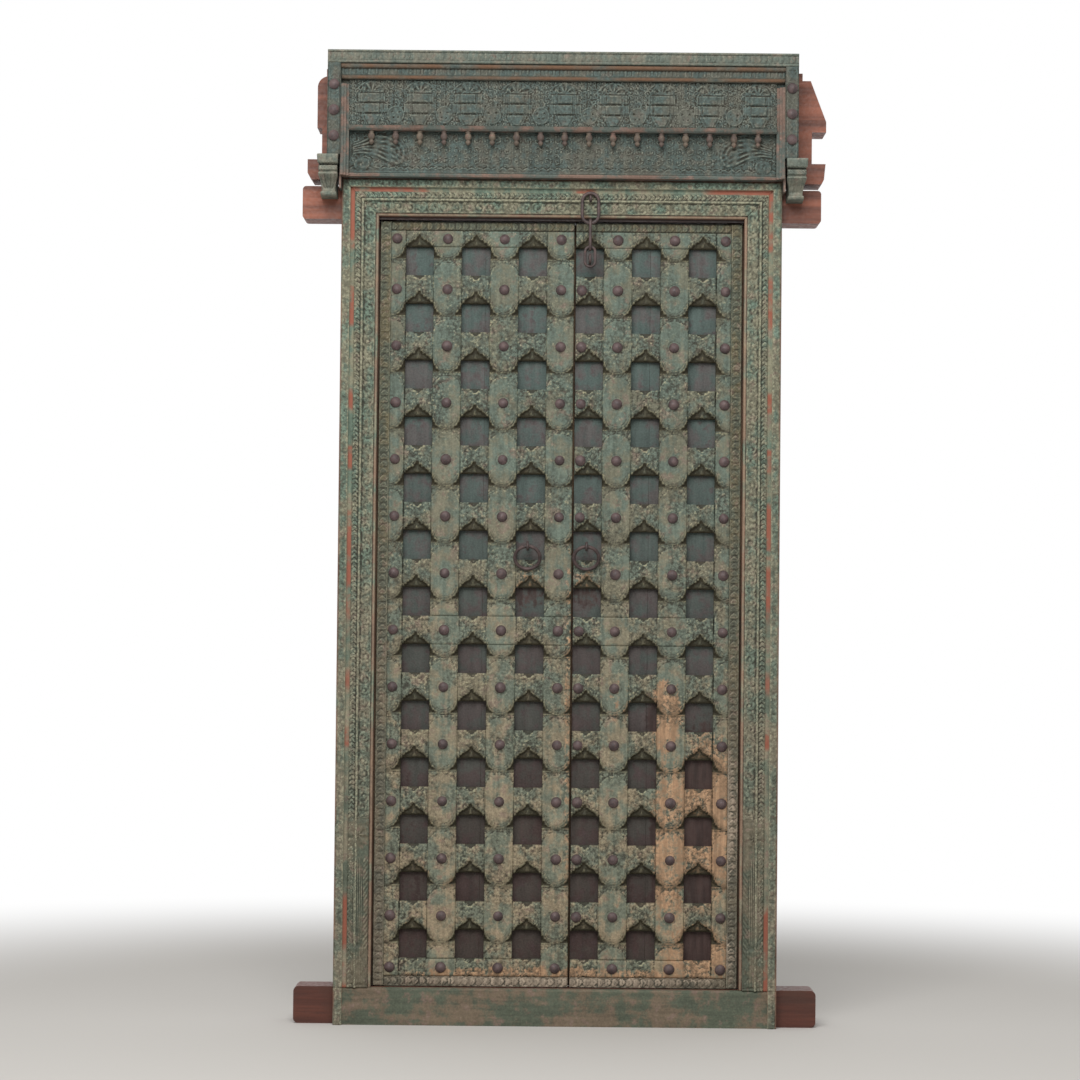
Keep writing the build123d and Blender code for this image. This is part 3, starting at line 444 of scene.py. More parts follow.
def timberMaterial(name, look):
    mat, tree, place, shader = startMaterial(name)
    mapping = put(tree, "Mapping", None, Vector=place)
    mapping.inputs["Scale"].default_value = look["stretch"]
    grain = useGroup(tree, timberGrain, Place=mapping.outputs[0], Pale=look["pale"], Deep=look["deep"])
    stain = spread(tree, cloud(tree, place, 5.0, 4.0, 0.6), 0.45, 0.7, 0.0, 0.55)
    fleck = cloud(tree, place, 120.0, 2.0, 0.5)
    colour = mixColour(tree, stain, grain["Color"], look.get("stainColour", (0.05, 0.025, 0.016)))
    colour = mixColour(tree, times(tree, grain["Lines"], 0.6), colour, look["deep"])
    if "shadow" in look:  # black in the gap over the leaves: half width, low and high edge in metres
        parts = put(tree, "SeparateXYZ", None, Vector=place).outputs
        halfWidth, bottom, top = look["shadow"]
        inside = calc(tree, "LESS_THAN", calc(tree, "ABSOLUTE", parts["X"]), halfWidth)
        inside = times(tree, inside, calc(tree, "GREATER_THAN", parts["Z"], bottom))
        inside = times(tree, inside, calc(tree, "LESS_THAN", parts["Z"], top))
        colour = mixColour(tree, times(tree, inside, 0.9), colour, (0.008, 0.006, 0.005))
    roughness = spread(tree, fleck, 0.3, 0.7, look["gloss"], look["gloss"] + 0.2)
    finishMaterial(tree, shader, colour, roughness, weigh(tree, (grain["Height"], 1.0), (fleck, 0.3)), 0.0009, 0.35)
    return mat


def ironMaterial(name, look):
    mat, tree, place, shader = startMaterial(name)
    coarse = cloud(tree, place, 45.0, 4.0, 0.6)
    fine = cloud(tree, place, 260.0, 4.0, 0.65)
    colour = mixColour(tree, spread(tree, coarse, 0.35, 0.65), look["dark"], look["light"])
    colour = mixColour(tree, spread(tree, fine, 0.52, 0.72, 0.0, 0.65), colour, look["rust"])
    shader.inputs["Metallic"].default_value = 0.1
    height = weigh(tree, (coarse, 1.0), (fine, 0.5))
    finishMaterial(tree, shader, colour, spread(tree, fine, 0.3, 0.7, 0.5, 0.75), height, 0.0011)
    return mat


materials = {name: paintedMaterial(name, look) for name, look in paints.items()}
materials.update({name: timberMaterial(name, look) for name, look in timbers.items()})
materials.update({name: ironMaterial(name, look) for name, look in irons.items()})
print("materials ready:", len(materials))

# making carved sheets


def gridLines(stops, step):  # line places through every stop, about a step apart
    places = [stops[0]]
    for a, b in zip(stops, stops[1:]):
        parts = max(1, round(abs(b - a) / step))
        places += [a + (b - a) * (n + 1) / parts for n in range(parts)]
    return np.array(places)


def carvedSheet(bm, us, vs, surface, backPoint):
    # surface gives x, out, z and the relief, plain and tint values for arrays of u and v; out is towards the viewer
    cellsU, cellsV = len(us) - 1, len(vs) - 1
    layers = [bm.verts.layers.float.get(n) or bm.verts.layers.float.new(n) for n in sheetValues]
    verts = bmesh.ops.create_grid(bm, x_segments=cellsU, y_segments=cellsV, size=1.0)["verts"]
    flat = np.array([v.co[:2] for v in verts])
    i = np.rint((flat[:, 0] + 1) / 2 * cellsU).astype(int)
    j = np.rint((flat[:, 1] + 1) / 2 * cellsV).astype(int)
    x, out, z, *values = surface(us[i], vs[j])
    for n, v in enumerate(verts):
        v.co = (x[n] * mm, -out[n] * mm, z[n] * mm)
        for layer, value in zip(layers, values):
            v[layer] = value[n]
    for f in {f for v in verts for f in v.link_faces}:
        f.smooth = True
    # walls straight back from the rim, and one flat face behind
    cell = {v: (a, b) for v, a, b in zip(verts, i, j)}
    rim = list({e for v in verts for e in v.link_edges if e.is_boundary})
    goal = {tuple(v.co): Vector(backPoint(us[cell[v][0]], vs[cell[v][1]])) * mm for e in rim for v in e.verts}
    grown = bmesh.ops.extrude_edge_only(bm, edges=rim)["geom"]
    backVerts = [g for g in grown if isinstance(g, bmesh.types.BMVert)]
    for v in backVerts:
        v.co = goal[tuple(v.co)]
    backEdges = list({e for v in backVerts for e in v.link_edges if e.is_boundary})
    walls = [g for g in grown if isinstance(g, bmesh.types.BMFace)]
    for f in walls + bmesh.ops.edgeloop_fill(bm, edges=backEdges)["faces"]:
        f.smooth = False


def finishPiece(name, bm, material, body, replaced):
    bmesh.ops.recalc_face_normals(bm, faces=bm.faces)
    mesh = bpy.data.meshes.new(name)
    bm.to_mesh(mesh)
    bm.free()
    piece = addToScene(name, mesh)
    mesh.materials.append(materials[material])
    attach(piece, body)
    if replaced:
        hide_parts(*replaced)
    print("made", name, len(mesh.polygons))


def ease(low, high, value):
    t = np.clip((value - low) / (high - low), 0, 1)
    return t * t * (3 - 2 * t)


def ridge(value, at, width):
    return np.exp(-((value - at) / width) ** 2)


def roughness(x, z, size, seed=0.0):  # soft value noise, 0 to 1
    gx, gz = x / size + seed * 17.3, z / size + seed * 9.1
    ix, iz = np.floor(gx), np.floor(gz)
    fx, fz = gx - ix, gz - iz
    fx, fz = fx * fx * (3 - 2 * fx), fz * fz * (3 - 2 * fz)

    def pick(a, b):
        s = np.sin(a * 12.9898 + b * 78.233) * 43758.5453
        return s - np.floor(s)

    top = pick(ix, iz) * (1 - fx) + pick(ix + 1, iz) * fx
    bottom = pick(ix, iz + 1) * (1 - fx) + pick(ix + 1, iz + 1) * fx
    return top * (1 - fz) + bottom * fz


def uneven(x, z, size, seed, amount):  # hand-made unevenness about zero
    return (roughness(x, z, size, seed) - 0.5) * amount


def reliefOf(carve, x, z, reach, strength):  # height, and 0.5 on the level, more on ridges, less in hollows
    here = carve(x, z)
    around = 0
    for n in range(6):
        a = n * math.pi / 3
        around = around + carve(x + reach * math.cos(a), z + reach * math.sin(a))
    return here, np.clip(0.5 + (here - around / 6) * strength, 0, 1)


def flatSheet(bm, box, look, carve, place=lambda u, v: (u, v)):
    # box is x0, x1, z0, z1; look has step, face over z, back, relief reach and strength, edgeRound and plain
    x0, x1, z0, z1 = box
    us, vs = gridLines([x0, x1], look["step"]), gridLines([z0, z1], look["step"])

    def surface(u, v):
        h, relief = reliefOf(carve, *place(u, v), *look["relief"])
        edge = np.minimum(u - x0, x1 - u)
        if look.get("roundEnds", True):
            edge = np.minimum(edge, np.minimum(v - z0, z1 - v))
        out = np.interp(v, *look["face"]) + h - look["edgeRound"] * ease(2.5, 0, edge)
        return u, out, v, relief, u * 0 + look["plain"], u * 0

    carvedSheet(bm, us, vs, surface, lambda a, b: (a, look["back"], b))


def scrollwork(x, z, cell):  # rows of curling tendrils with small leaves between
    cx, cz = np.floor(x / cell), np.floor(z / cell)
    turn = np.where((cx + cz) % 2 == 0, 1.0, -1.0)
    dx, dz = x / cell - cx - 0.5, z / cell - cz - 0.5
    r = np.hypot(dx, dz)
    angle = np.arctan2(dz, dx)
    curl = np.cos(angle * turn - r * 17.0) * ease(0.56, 0.44, r) * ease(0.02, 0.12, r)
    leaf = np.cos(angle * 4) * ease(0.46, 0.6, r)
    return 0.9 * curl + 0.8 * leaf + 0.7 * ease(0.1, 0.04, r)


def leafRow(across, along, period):  # across runs -1 to 1, leaves side by side with a vein
    t = along / period
    t = t - np.floor(t) - 0.5
    width = 0.44 * np.sqrt(np.clip(1 - across ** 2, 0, 1))
    return ease(-0.02, 0.16, width - np.abs(t)) - 0.35 * ridge(t, 0, 0.06)


# lattice of the leaves: star-shaped recesses between battens, a cartouche round each stud
lattice = {
    "pitch": 152.0, "recess": 76.0, "half": 38.0, "studRow": 1959.0, "rows": 12, "throughRow": 1047.0,
    "bottom": (127.0, 173.0), "top": (2073.0, 2116.0),  # low and high edge of the rails
    "face": -8.0, "back": 33.0, "step": 3.17, "seam": 0.5, "edgeRound": 1.7, "ovalHalf": 38.5, "ovalReach": 71.0,
    # half width of the pointed notch over each recess, by height above the recess
    "archTop": 34.0, "archReach": [0, 5, 10, 14, 17, 19, 21, 25, 29, 34],
    "archHalf": [33, 31, 27, 21, 16, 12, 9, 6, 4, 0],
    # half width of the small notch under each recess, by depth below it
    "footReach": [0, 4, 6, 9, 12], "footHalf": [15, 13, 8, 6, 0],
}
# per leaf: edge batten, middles of the uprights, ends of the cross battens and of the row that runs through,
# meeting stile, ends of the top and bottom border strips, outer border strip
leafPlans = {
    "left": {"edge": (-456, -416), "uprights": (-304, -152), "cross": (-416, -38), "through": (-416, 34.5),
             "meeting": (-38, 34.5), "strips": (-456, 34.5), "outer": (-483.7, -456.3)},
    "right": {"edge": (416, 456), "uprights": (152, 304), "cross": (39.5, 416), "through": (39.5, 416),
              "meeting": None, "strips": (39.5, 456), "outer": (456.3, 483.7)},
}


def fromStud(x, z):  # sideways from the nearest stud, height over it, and a value that is 1 on the cartouche's rim
    pitch = lattice["pitch"]
    a = np.abs(x - np.round(x / pitch) * pitch)
    up = (z - lattice["studRow"]) / pitch
    up = (up - np.round(up)) * pitch
    oval = (a / lattice["ovalHalf"]) ** 2 + (up / lattice["ovalReach"]) ** 4
    return a, up, oval


def latticeNotches(x, z):  # distance into the notches, and how deep they are cut
    a, up, oval = fromStud(x, z)
    archTop, away = lattice["archTop"], -30
    b = lattice["pitch"] / 2 - a
    reach = up + lattice["recess"] / 2
    inside = (np.interp(reach, lattice["archReach"], lattice["archHalf"]) - b) * 0.75
    arch = np.where(reach > archTop, -np.hypot(reach - archTop, b), inside)
    arch = np.where((up < 0) & (up > -38.5), arch, away)
    pit = np.where(up <= -38.5, np.minimum((np.sqrt(oval) - 1) * 34 - 0.5, (up + 69) * 1.1), away)
    into = np.maximum(arch, pit)
    into = into + 1.5 * np.cos((x + z) * 0.6) * np.cos((x - z) * 0.6) * ease(-16, 0, into)  # scalloped rim
    depth = np.where(arch > pit, 4 + 9 * np.clip(1 - reach / archTop, 0, 1), 3 + 9 * ease(0, 6, pit))
    low = lattice["recess"] / 2 - up
    foot = (np.interp(low, lattice["footReach"], lattice["footHalf"], left=15, right=-20) - b) * 0.8
    foot = np.where((up > 0) & (low > -0.5) & (b < 38), foot, away)
    depth = np.where(foot > into, 7.0, depth)
    keystone = np.where((up < 0) & (reach > 0), ease(0, 3, 10 * (1 - reach / 19) - b) * ease(0.5, 3, reach), 0)
    return np.maximum(into, foot), depth - 4.5 * keystone


def latticeCarving(x, z):
    a, up, oval = fromStud(x, z)
    into, depth = latticeNotches(x, z)
    beads = 1 + 0.4 * np.cos((x + z) * 0.62) * np.cos((x - z) * 0.62)
    rims = beads * (1.5 * ridge(into, -2.0, 1.4) + 1.2 * ridge(into, -7.2, 1.4) + 1.0 * ridge(into, 3.4, 1.3))
    rims = ease(8, -8, up) * (rims - 1.4 * ridge(into, -4.6, 1.2) - 1.0 * ridge(into, -9.8, 1.2))
    upperRim = (0.9 * ridge(oval, 0.97, 0.07) - 1.1 * ridge(oval, 1.12, 0.07)) * ease(-12, 12, up) * ease(74, 66, up)
    inside = ease(1.08, 0.9, oval)
    worn = ease(0.5, 0.9, roughness(x, z, 23, 6))
    foliage = scrollwork(x + 6, z, 12.7) * 0.7 + uneven(x, z, 5.0, 1, 1.4)
    h = rims + upperRim - ease(-0.2, 1.5, into) * depth
    h = h + foliage * (1 - inside) * ease(3, -1, into) * (1 - 0.5 * worn)
    h = h + uneven(x, z, 60, 3, 2.0) + uneven(x, z, 12, 7, 0.7)
    return h - 1.0 * ridge(np.hypot(a, up), 18.0, 1.8) - 0.7 * worn + 0.5 * inside


def latticePlain(x, z):  # how smooth: most on the cartouches
    return 0.15 + 0.55 * ease(1.12, 0.85, fromStud(x, z)[2]) * ease(0.15, 0.6, roughness(x, z, 95, 12))


def latticeShadeAndGrime(x, z):  # painted shade and olive grime in the notches and along their rims, with a painted shadow along the top edge of each recess
    a, up, oval = fromStud(x, z)
    into, depth = latticeNotches(x, z)
    shadow = 0.5 * ease(-30, -38, up) * ease(-38.6, -37, up) * (a > 38)
    line = 0.6 * ridge(into, 0.8, 1.8) * (into < 20)
    floor = 0.25 * ease(-1, 1, into) + 0.02 * depth * ease(0, 3, into)
    return (0.35 * ease(-12, -7, into) + floor + line) * ease(6, -6, up) + shadow


def latticeSheet(bm, across, z0, z1):  # edges are half a seam inside the places given
    g = lattice["seam"] / 2
    x0, x1, z0, z1 = across[0] + g, across[1] - g, z0 + g, z1 - g
    us, vs = gridLines([x0, x1], lattice["step"]), gridLines([z0, z1], lattice["step"])

    def surface(u, v):
        h, relief = reliefOf(latticeCarving, u, v, 4.5, 0.2)
        edge = np.minimum(np.minimum(u - x0, x1 - u), np.minimum(v - z0, z1 - v))
        h = h - lattice["edgeRound"] * ease(2.6 + 2.5 * roughness(u, v, 16, 8), 0, edge)
        return u, lattice["face"] + h, v, relief, latticePlain(u, v), latticeShadeAndGrime(u, v)

    carvedSheet(bm, us, vs, surface, lambda a, b: (a, lattice["back"], b))


def makeLattice(side, plan):
    half, through = lattice["half"], lattice["throughRow"]
    (foot, railTop), (railFoot, head) = lattice["bottom"], lattice["top"]
    bm = bmesh.new()
    latticeSheet(bm, plan["edge"], foot, head)
    for c in plan["uprights"]:
        latticeSheet(bm, (c - half, c + half), railTop, through - half)
        latticeSheet(bm, (c - half, c + half), through + half, railFoot)
    names = [f"upright_{side}_1", f"upright_{side}_2", f"edge_batten_{side}"]
    if plan["meeting"]:
        latticeSheet(bm, plan["meeting"], foot, through - half)
        latticeSheet(bm, plan["meeting"], through + half, head)
        names.append("meeting_stile")
    finishPiece(f"lattice_uprights_{side}", bm, "latticePaint", f"leaf_{side}", names)
    bm = bmesh.new()
    stops = [plan["cross"][0]] + [c + d for c in plan["uprights"] for d in (-half, half)] + [plan["cross"][1]]
    for n in range(lattice["rows"]):
        z = lattice["studRow"] - lattice["pitch"] * n
        spans = [plan["through"]] if z == through else list(zip(stops[::2], stops[1::2]))
        for span in spans:
            latticeSheet(bm, span, z - half, z + half)
    latticeSheet(bm, plan["cross"], railFoot, head)
    latticeSheet(bm, plan["cross"], foot, railTop)
    finishPiece(f"lattice_cross_{side}", bm, "latticePaint", f"leaf_{side}",
                [f"cross_battens_{side}", f"top_rail_{side}", f"bottom_rail_{side}"])


for side, plan in leafPlans.items():
    makeLattice(side, plan)

# carved border of each leaf
borders = {
    "foot": (100.0, 126.7), "head": (2116.3, 2141.0), "half": 14.0, "leafPeriod": 19.0,
    "step": 2.6, "face": ([0], [-11.0]), "back": 33.0, "relief": (3.0, 0.34), "edgeRound": 1.2, "plain": 0.45,
}


def borderCarving(across, along):
    c = across / borders["half"]
    leaf = leafRow(c * 1.35, along + 5 * np.abs(c), borders["leafPeriod"])
    grooves = -1.4 * ridge(np.abs(across), 12.2, 0.9) + 0.8 * ridge(np.abs(across), 13.6, 0.8)
    inner = ease(11.5, 10, np.abs(across))
    return inner * (2.6 * leaf - 2.2) + grooves + uneven(across, along, 40, 4, 0.8)


for side, plan in leafPlans.items():
    bm = bmesh.new()
    x0, x1 = plan["outer"]
    flatSheet(bm, (x0, x1, borders["foot"][0], borders["head"][1]), borders, borderCarving,
              lambda u, v: (u - (x0 + x1) / 2, v))
    for z0, z1 in (borders["head"], borders["foot"]):
        flatSheet(bm, (*plan["strips"], z0, z1), borders, borderCarving, lambda u, v: (v - (z0 + z1) / 2, u))
    finishPiece(f"carved_border_{side}", bm, "borderPaint", f"leaf_{side}", [f"border_strips_{side}"])

# jamb boards and head board: the same run of mouldings outwards from the bare lip
mouldings = {
    "stops": [0, 3, 9, 9.4, 39, 39.4, 41, 45, 46.6, 47, 64, 64.4, 75.6, 76, 78, 95, 99],
    "outs": [11, 16, 16, 20, 26, 27.5, 30, 30, 27, 25, 25, 24, 24, 34, 36, 36, 32],
    "lip": 488.0, "lipBottom": 2151.0, "footTop": 98.0, "outermost": 37.0, "step": 3.0, "along": 3.1, "scroll": 31.0,
    "pastThreshold": 75.2,  # from here outwards the jamb runs on to the floor
}


def boardCarving(across, along):
    def band(low, high, carving):
        return np.where((across > low) & (across < high), carving, 0)

    mid = across - 24
    vine = scrollwork(along, across - 9.0, mouldings["scroll"]) * 1.7
    h = band(9.2, 39.2, ease(15, 12.5, np.abs(mid)) * (vine - 0.6) + 0.9 * ridge(np.abs(mid), 13.8, 0.9))
    c = (across - 55.5) / 8.7
    slanted = leafRow(c * 0.95, along + 7 * np.abs(c), 12.5)
    h = h + band(46.8, 64.2, 3.4 * slanted - 0.3 - 0.8 * ridge(c, 0, 0.14))
    c = (across - 86) / 9.5
    darts = np.maximum(leafRow(c * 1.05, along, 18.5), leafRow(c * 1.05, along + 9.25, 18.5) * 0.6)
    h = h + band(77, 96, 2.3 * darts - 2.3) + band(39, 47, 0.5 * np.cos((along + across) * 0.9))
    return np.interp(across, mouldings["stops"], mouldings["outs"]) + h + uneven(across, along, 45, 5, 1.0)


def boardSurface(across, along):  # out, relief, plain, and the red of the groove and bare edges
    h, relief = reliefOf(boardCarving, across, along, 3.4, 0.2)
    groove = ease(63.8, 64.6, across) * ease(76.2, 75.4, across)
    edges = ease(9.2, 8.2, across) + ease(94, 96.5, across)
    relief = np.where((across > 64) & (across < 76), 0.42, relief)
    tint = groove * ease(0.48, 0.64, roughness(along, along * 0 + 1, 75, 3))
    tint = tint + 0.6 * ease(94.5, 96, across) + 0.4 * ease(9, 7.5, across)
    return np.minimum(h, mouldings["outermost"]), relief, np.clip(groove + edges, 0, 1) * 0.9, tint


def jambSheet(bm, s, first, bottom, top, mitre):  # from the first place outwards; s is the side, -1 or 1
    us = gridLines([first] + [c for c in mouldings["stops"] if c > first], mouldings["step"])
    vs = gridLines([0, 1], mouldings["along"] / (top - bottom))
    us = us[::s]

    def corner(u, v):
        return s * (mouldings["lip"] + u), bottom + v * (top + mitre * u - bottom)

    def surface(u, v):
        x, z = corner(u, v)
        out, *values = boardSurface(u, z)
        return x, out, z, *values

    def backPoint(a, b):
        x, z = corner(a, b)
        return x, 0, z

    carvedSheet(bm, us, vs, surface, backPoint)


for side, s in (("left", -1), ("right", 1)):
    bm = bmesh.new()
    jambSheet(bm, s, 0, mouldings["footTop"], mouldings["lipBottom"], 1)
    jambSheet(bm, s, mouldings["pastThreshold"], 0, mouldings["footTop"] - 0.05, 0)
    finishPiece(f"carved_jamb_{side}", bm, "framePaint", "frame", [f"jamb_board_{side}"])


def headSurface(u, v):
    x = u * (mouldings["lip"] + v)
    out, relief, plain, tint = boardSurface(v, x + 700)
    relief = relief - 0.09 * ease(74, 80, v)  # the outer band of the head is drawn darker by lowering its relief value
    return x, out, mouldings["lipBottom"] + v, relief, plain, tint


bm = bmesh.new()
us, vs = gridLines([-1, 1], mouldings["along"] / 545), gridLines(mouldings["stops"], mouldings["step"])
carvedSheet(bm, us, vs, headSurface, lambda a, b: (a * (mouldings["lip"] + b), 0, mouldings["lipBottom"] + b))
finishPiece("carved_head", bm, "framePaint", "frame", ["head_board"])

# plinth panels
plinth = {
    "low": 98.0, "high": 551.0, "across": (497.0, 552.0),
    "step": 2.5, "face": ([0], [29.0]), "back": -14, "relief": (3.0, 0.2), "edgeRound": 2.0, "plain": 0.55,
}


def plinthCarving(x, z):  # x from the panel's middle, z above its foot, 453 tall
    a = np.abs(x)
    r = np.hypot(x, (z - 405))
    flower = ease(34, 20, r) * (2.2 + 1.8 * np.cos(np.arctan2(z - 405, x) * 6)) + 1.5 * ease(8, 5, r)
    flower = flower * ease(368, 378, z) * ease(442, 436, z)
    taper = np.interp(z, [118, 150, 250, 345], [10, 16, 13, 9])
    shaft = ease(0, 3, taper - a) * (2.6 + 1.3 * np.cos(a * 1.25)) * ease(112, 122, z) * ease(352, 338, z)
    leaves = ease(0, 0.4, 1 - np.abs((a - 20) / 7.5)) * (1.6 + 1.4 * np.cos((z - a * 1.4) * 0.42))
    leaves = leaves * ease(92, 104, z) * ease(350, 336, z)
    vaseR = np.interp(z, [12, 20, 34, 48, 58, 72, 84, 96, 108], [22, 24, 12, 20, 23, 16, 10, 22, 24])
    vase = ease(0, 4, vaseR - a) * (3.2 + 0.9 * np.cos(a * 0.9)) * ease(10, 14, z) * ease(112, 104, z)
    lines = 1.6 * ease(24.5, 26.5, a) - 1.6 * ridge(z, 447, 1.5) - 1.3 * ridge(z, 7, 1.6)
    cap = ease(444, 440, z) * ease(430, 434, z) * 1.2
    return np.maximum.reduce([flower, shaft, leaves, vase]) + cap + lines - 2.4 + uneven(x, z, 6, 7, 0.9)


for side, s in (("left", -1), ("right", 1)):
    bm = bmesh.new()
    x0, x1 = sorted(s * x for x in plinth["across"])
    flatSheet(bm, (x0, x1, plinth["low"], plinth["high"]), plinth, plinthCarving,
              lambda u, v: (u - (x0 + x1) / 2, v - plinth["low"]))
    finishPiece(f"carved_plinth_{side}", bm, "plinthPaint", "frame", [f"plinth_panel_{side}"])

# cornice
cornice = {
    "half": 568.0, "lowerBottom": 2261.0, "lowerTop": 2372.0, "upperBottom": 2384.0, "upperTop": 2508.0,
    "leafEnd": 562.0, "motifShift": 5.5, "motifPitch": 128.4, "pavilions": 4,  # on either side of the middle one
}
frieze = {"step": 2.3, "back": 0, "relief": (3.2, 0.24), "edgeRound": 0, "plain": 0.35}


def endLeaf(dx, dz):  # acanthus leaf lying along one end of the lower frieze, dx from that end, dz from its foot
    bend = dz - 62 - 9 * np.sin(dx / 34)
    swell = np.interp(dx, [0, 30, 70, 112], [0.34, 0.55, 0.85, 1.0])
    tip = np.hypot(np.maximum(dx - 112, 0), bend / swell)  # strands run round the blunt tip
    lobes = 3.5 * np.abs(np.sin(dx * 0.11 + np.where(bend > 0, 0.8, 0.0)))
    body = ease(42, 38, tip + lobes) * ease(2, 6, dx)
    flow = tip * 0.42 + 1.3 * np.sin(dx * 0.05 + bend * 0.04)
    strands = 1.7 * np.cos(flow) + 0.8 * np.cos(dx * 0.24 - np.abs(bend) * 0.5)
    low = ease(24, 20, np.hypot(dx - 28, (dz - 24) * 1.25))
    turn = np.arctan2(dz - 24, dx - 28)
    curl = 1.6 * np.cos(turn * 2 - np.hypot(dx - 28, dz - 24) * 0.34) * low
    return body * (3.4 + strands) * (1 - low) + 2.8 * low, np.maximum(body, low), curl


def lowerCarving(x, z):
    v = z - cornice["lowerBottom"]
    leaf, cover, curl = endLeaf(cornice["leafEnd"] - np.abs(x), v)
    field = scrollwork(x, v + 4, 27.0) * 2.4 + scrollwork(x + 9, v, 13.5) * 1.9 + uneven(x, z, 5.5, 6, 2.2)
    field = field * (1 - np.clip(cover * 1.4, 0, 1)) * ease(12, 15, v)
    wave = 5 * np.abs(np.sin(x * math.pi / 21.0))
    edge = 1.5 * ridge(v, 10 + wave, 2.0) - 2.4 * ridge(v, 14 + wave, 1.8)
    border = 1.8 * ease(6.5, 4.5, v) + 1.5 * ease(106, 108, v)
    return np.maximum(field, leaf * 1.1) + edge * (1 - np.clip(cover, 0, 1)) + border + curl * 0.8


def pavilion(dx, dz):  # temple front: tapered foot, two tiers of blocks, fan dome with two drilled holes
    a = np.abs(dx)
    tiers = dz * 0
    for low, high, core, wing, narrow in ((1, 31, 20, 27, 11), (34, 60, 21, 43, 0), (63, 88, 20, 37, 0)):
        up = (high - low) / 2 - np.abs(dz - (low + high) / 2)
        slim = narrow * ease(high - 4, low, dz)
        fluted = 0.7 * np.cos((a - core) * 0.9) * (a > core)
        tiers = np.maximum(tiers, (3.0 + fluted) * ease(0, 2.2, np.minimum(wing - slim - a, up)))
        tiers = np.maximum(tiers, 5.6 * ease(0, 2.2, np.minimum(core - slim - a, up)))
    rr = np.hypot(a / 31, (dz - 90) / 30)
    angle = np.arctan2(dz - 90, dx)
    above = ease(88, 90.5, dz)
    fan = ease(1.0, 0.9, rr) * (2.8 + 2.2 * np.cos(angle * 9) * ease(0.15, 0.4, rr)) * above
    hood = 3.0 * ridge(np.hypot(a / 44, (dz - 84) / 37), 0.94, 0.06) * ease(80, 88, dz)
    eyes = 5.0 * ease(4.6, 2.8, np.hypot(a - 14, dz - 97))
    side = np.hypot(a - 37, dz - 92)
    return np.maximum(np.maximum(tiers, fan), hood) - eyes + 2.4 * np.cos(side * 0.8) * ease(10, 7, side) * above


def lyre(dx, dz):  # lobed vase with curled handles, drilled four times
    a = np.abs(dx)
    rr = np.hypot(a / 22, (dz - 30) / 23)
    bowl = np.maximum(2.0 * ease(1.0, 0.85, rr), 3.6 * ridge(rr, 0.94, 0.11))
    stem = 3.2 * ridge(dx - 9 * np.sin((dz - 46) / 9), 0, 3.0) * ease(46, 52, dz) * ease(76, 68, dz)
    handle = np.hypot(a - 17, dz - 58)
    holes = ease(3.6, 2.2, np.hypot(a - 10, dz - 36)) + ease(3.4, 2.0, np.hypot(a - 6, dz - 22))
    return np.maximum(bowl, stem) + 2.6 * np.cos(handle * 0.8) * ease(9, 6, handle) - 5.0 * holes


def upperCarving(x, z):
    v = z - cornice["upperBottom"]
    pitch, last = cornice["motifPitch"], cornice["pavilions"]
    u = (x - cornice["motifShift"]) / pitch
    temple = pavilion((u - np.clip(np.round(u), -last, last)) * pitch, v)
    vase = lyre((u - np.clip(np.floor(u), -last, last - 1) - 0.5) * pitch, v)
    shapes = np.maximum(temple, vase)
    ground = (scrollwork(x, v, 12.5) * 1.9 + uneven(x, z, 5.5, 9, 2.6)) * ease(2.0, 0.2, shapes)
    return shapes + ground - 1.4 + uneven(x, z, 4.0, 4, 1.0)


for level, carving, outs in (("lower", lowerCarving, [49.0, 49.0]), ("upper", upperCarving, [77.0, 67.0])):
    bm = bmesh.new()
    heights = [cornice[level + "Bottom"], cornice[level + "Top"]]
    flatSheet(bm, (-cornice["half"], cornice["half"], *heights), {**frieze, "face": (heights, outs)}, carving)
    finishPiece(f"carved_{level}_frieze", bm, "cornicePaint", "frame", [f"{level}_frieze"])

# crown and top rail: profile by height, one row of leaves, tinted bands
bands = {
    "crown": {
        "node": "crown_moulding", "paint": "cornicePaint", "half": 589.0, "back": 0.0,
        "stops": [2494, 2507.6, 2508, 2509, 2517.7, 2518.3, 2534.7, 2535.3, 2538, 2544, 2547],
        "outs": [62, 62, 76, 80, 82, 83, 85, 90, 93, 94, 91], "tinted": [(2508, 2517.5), (2535, 2546)],
        "leaves": {"middle": 2526.5, "half": 8.0, "field": (2518.5, 2534.5), "high": 2.2, "period": 10.0, "slant": 0.0},
    },
    "top_rail": {
        "node": "cornice_top_rail", "paint": "topRailPaint", "half": 624.0, "back": 60.0,
        "stops": [2547, 2549, 2554, 2555, 2576, 2577, 2580, 2582],
        "outs": [97, 100, 100, 98.5, 98.5, 100, 100, 97], "tinted": [],
        "leaves": {"middle": 2565.5, "half": 10.5, "field": (2554.5, 2576.5), "high": 2.0, "period": 15.0,
                   "slant": 3 / 11},
    },
}


def makeBand(name, band):
    bm = bmesh.new()
    us, vs = gridLines([-band["half"], band["half"]], 2.8), gridLines(band["stops"], 3.0)
    row = band["leaves"]

    def carving(x, z):
        c = z - row["middle"]
        leaves = row["high"] * leafRow(c / row["half"], x + row["slant"] * np.abs(c), row["period"]) - 1.6
        return np.interp(z, band["stops"], band["outs"]) + leaves * ((z > row["field"][0]) & (z < row["field"][1]))

    def surface(u, v):
        h, relief = reliefOf(carving, u, v, 3.0, 0.22)
        tint = np.zeros_like(u)
        for low, high in band["tinted"]:
            tint = np.maximum(tint, ease(low - 0.6, low + 0.6, v) * ease(high + 0.6, high - 0.6, v))
        return u, h, v, 0.5 + (relief - 0.5) * 0.9, u * 0 + 0.6, tint

    carvedSheet(bm, us, vs, surface, lambda a, b: (a, band["back"], b))
    finishPiece(f"carved_{name}", bm, band["paint"], "frame", [band["node"]])


for name, band in bands.items():
    makeBand(name, band)

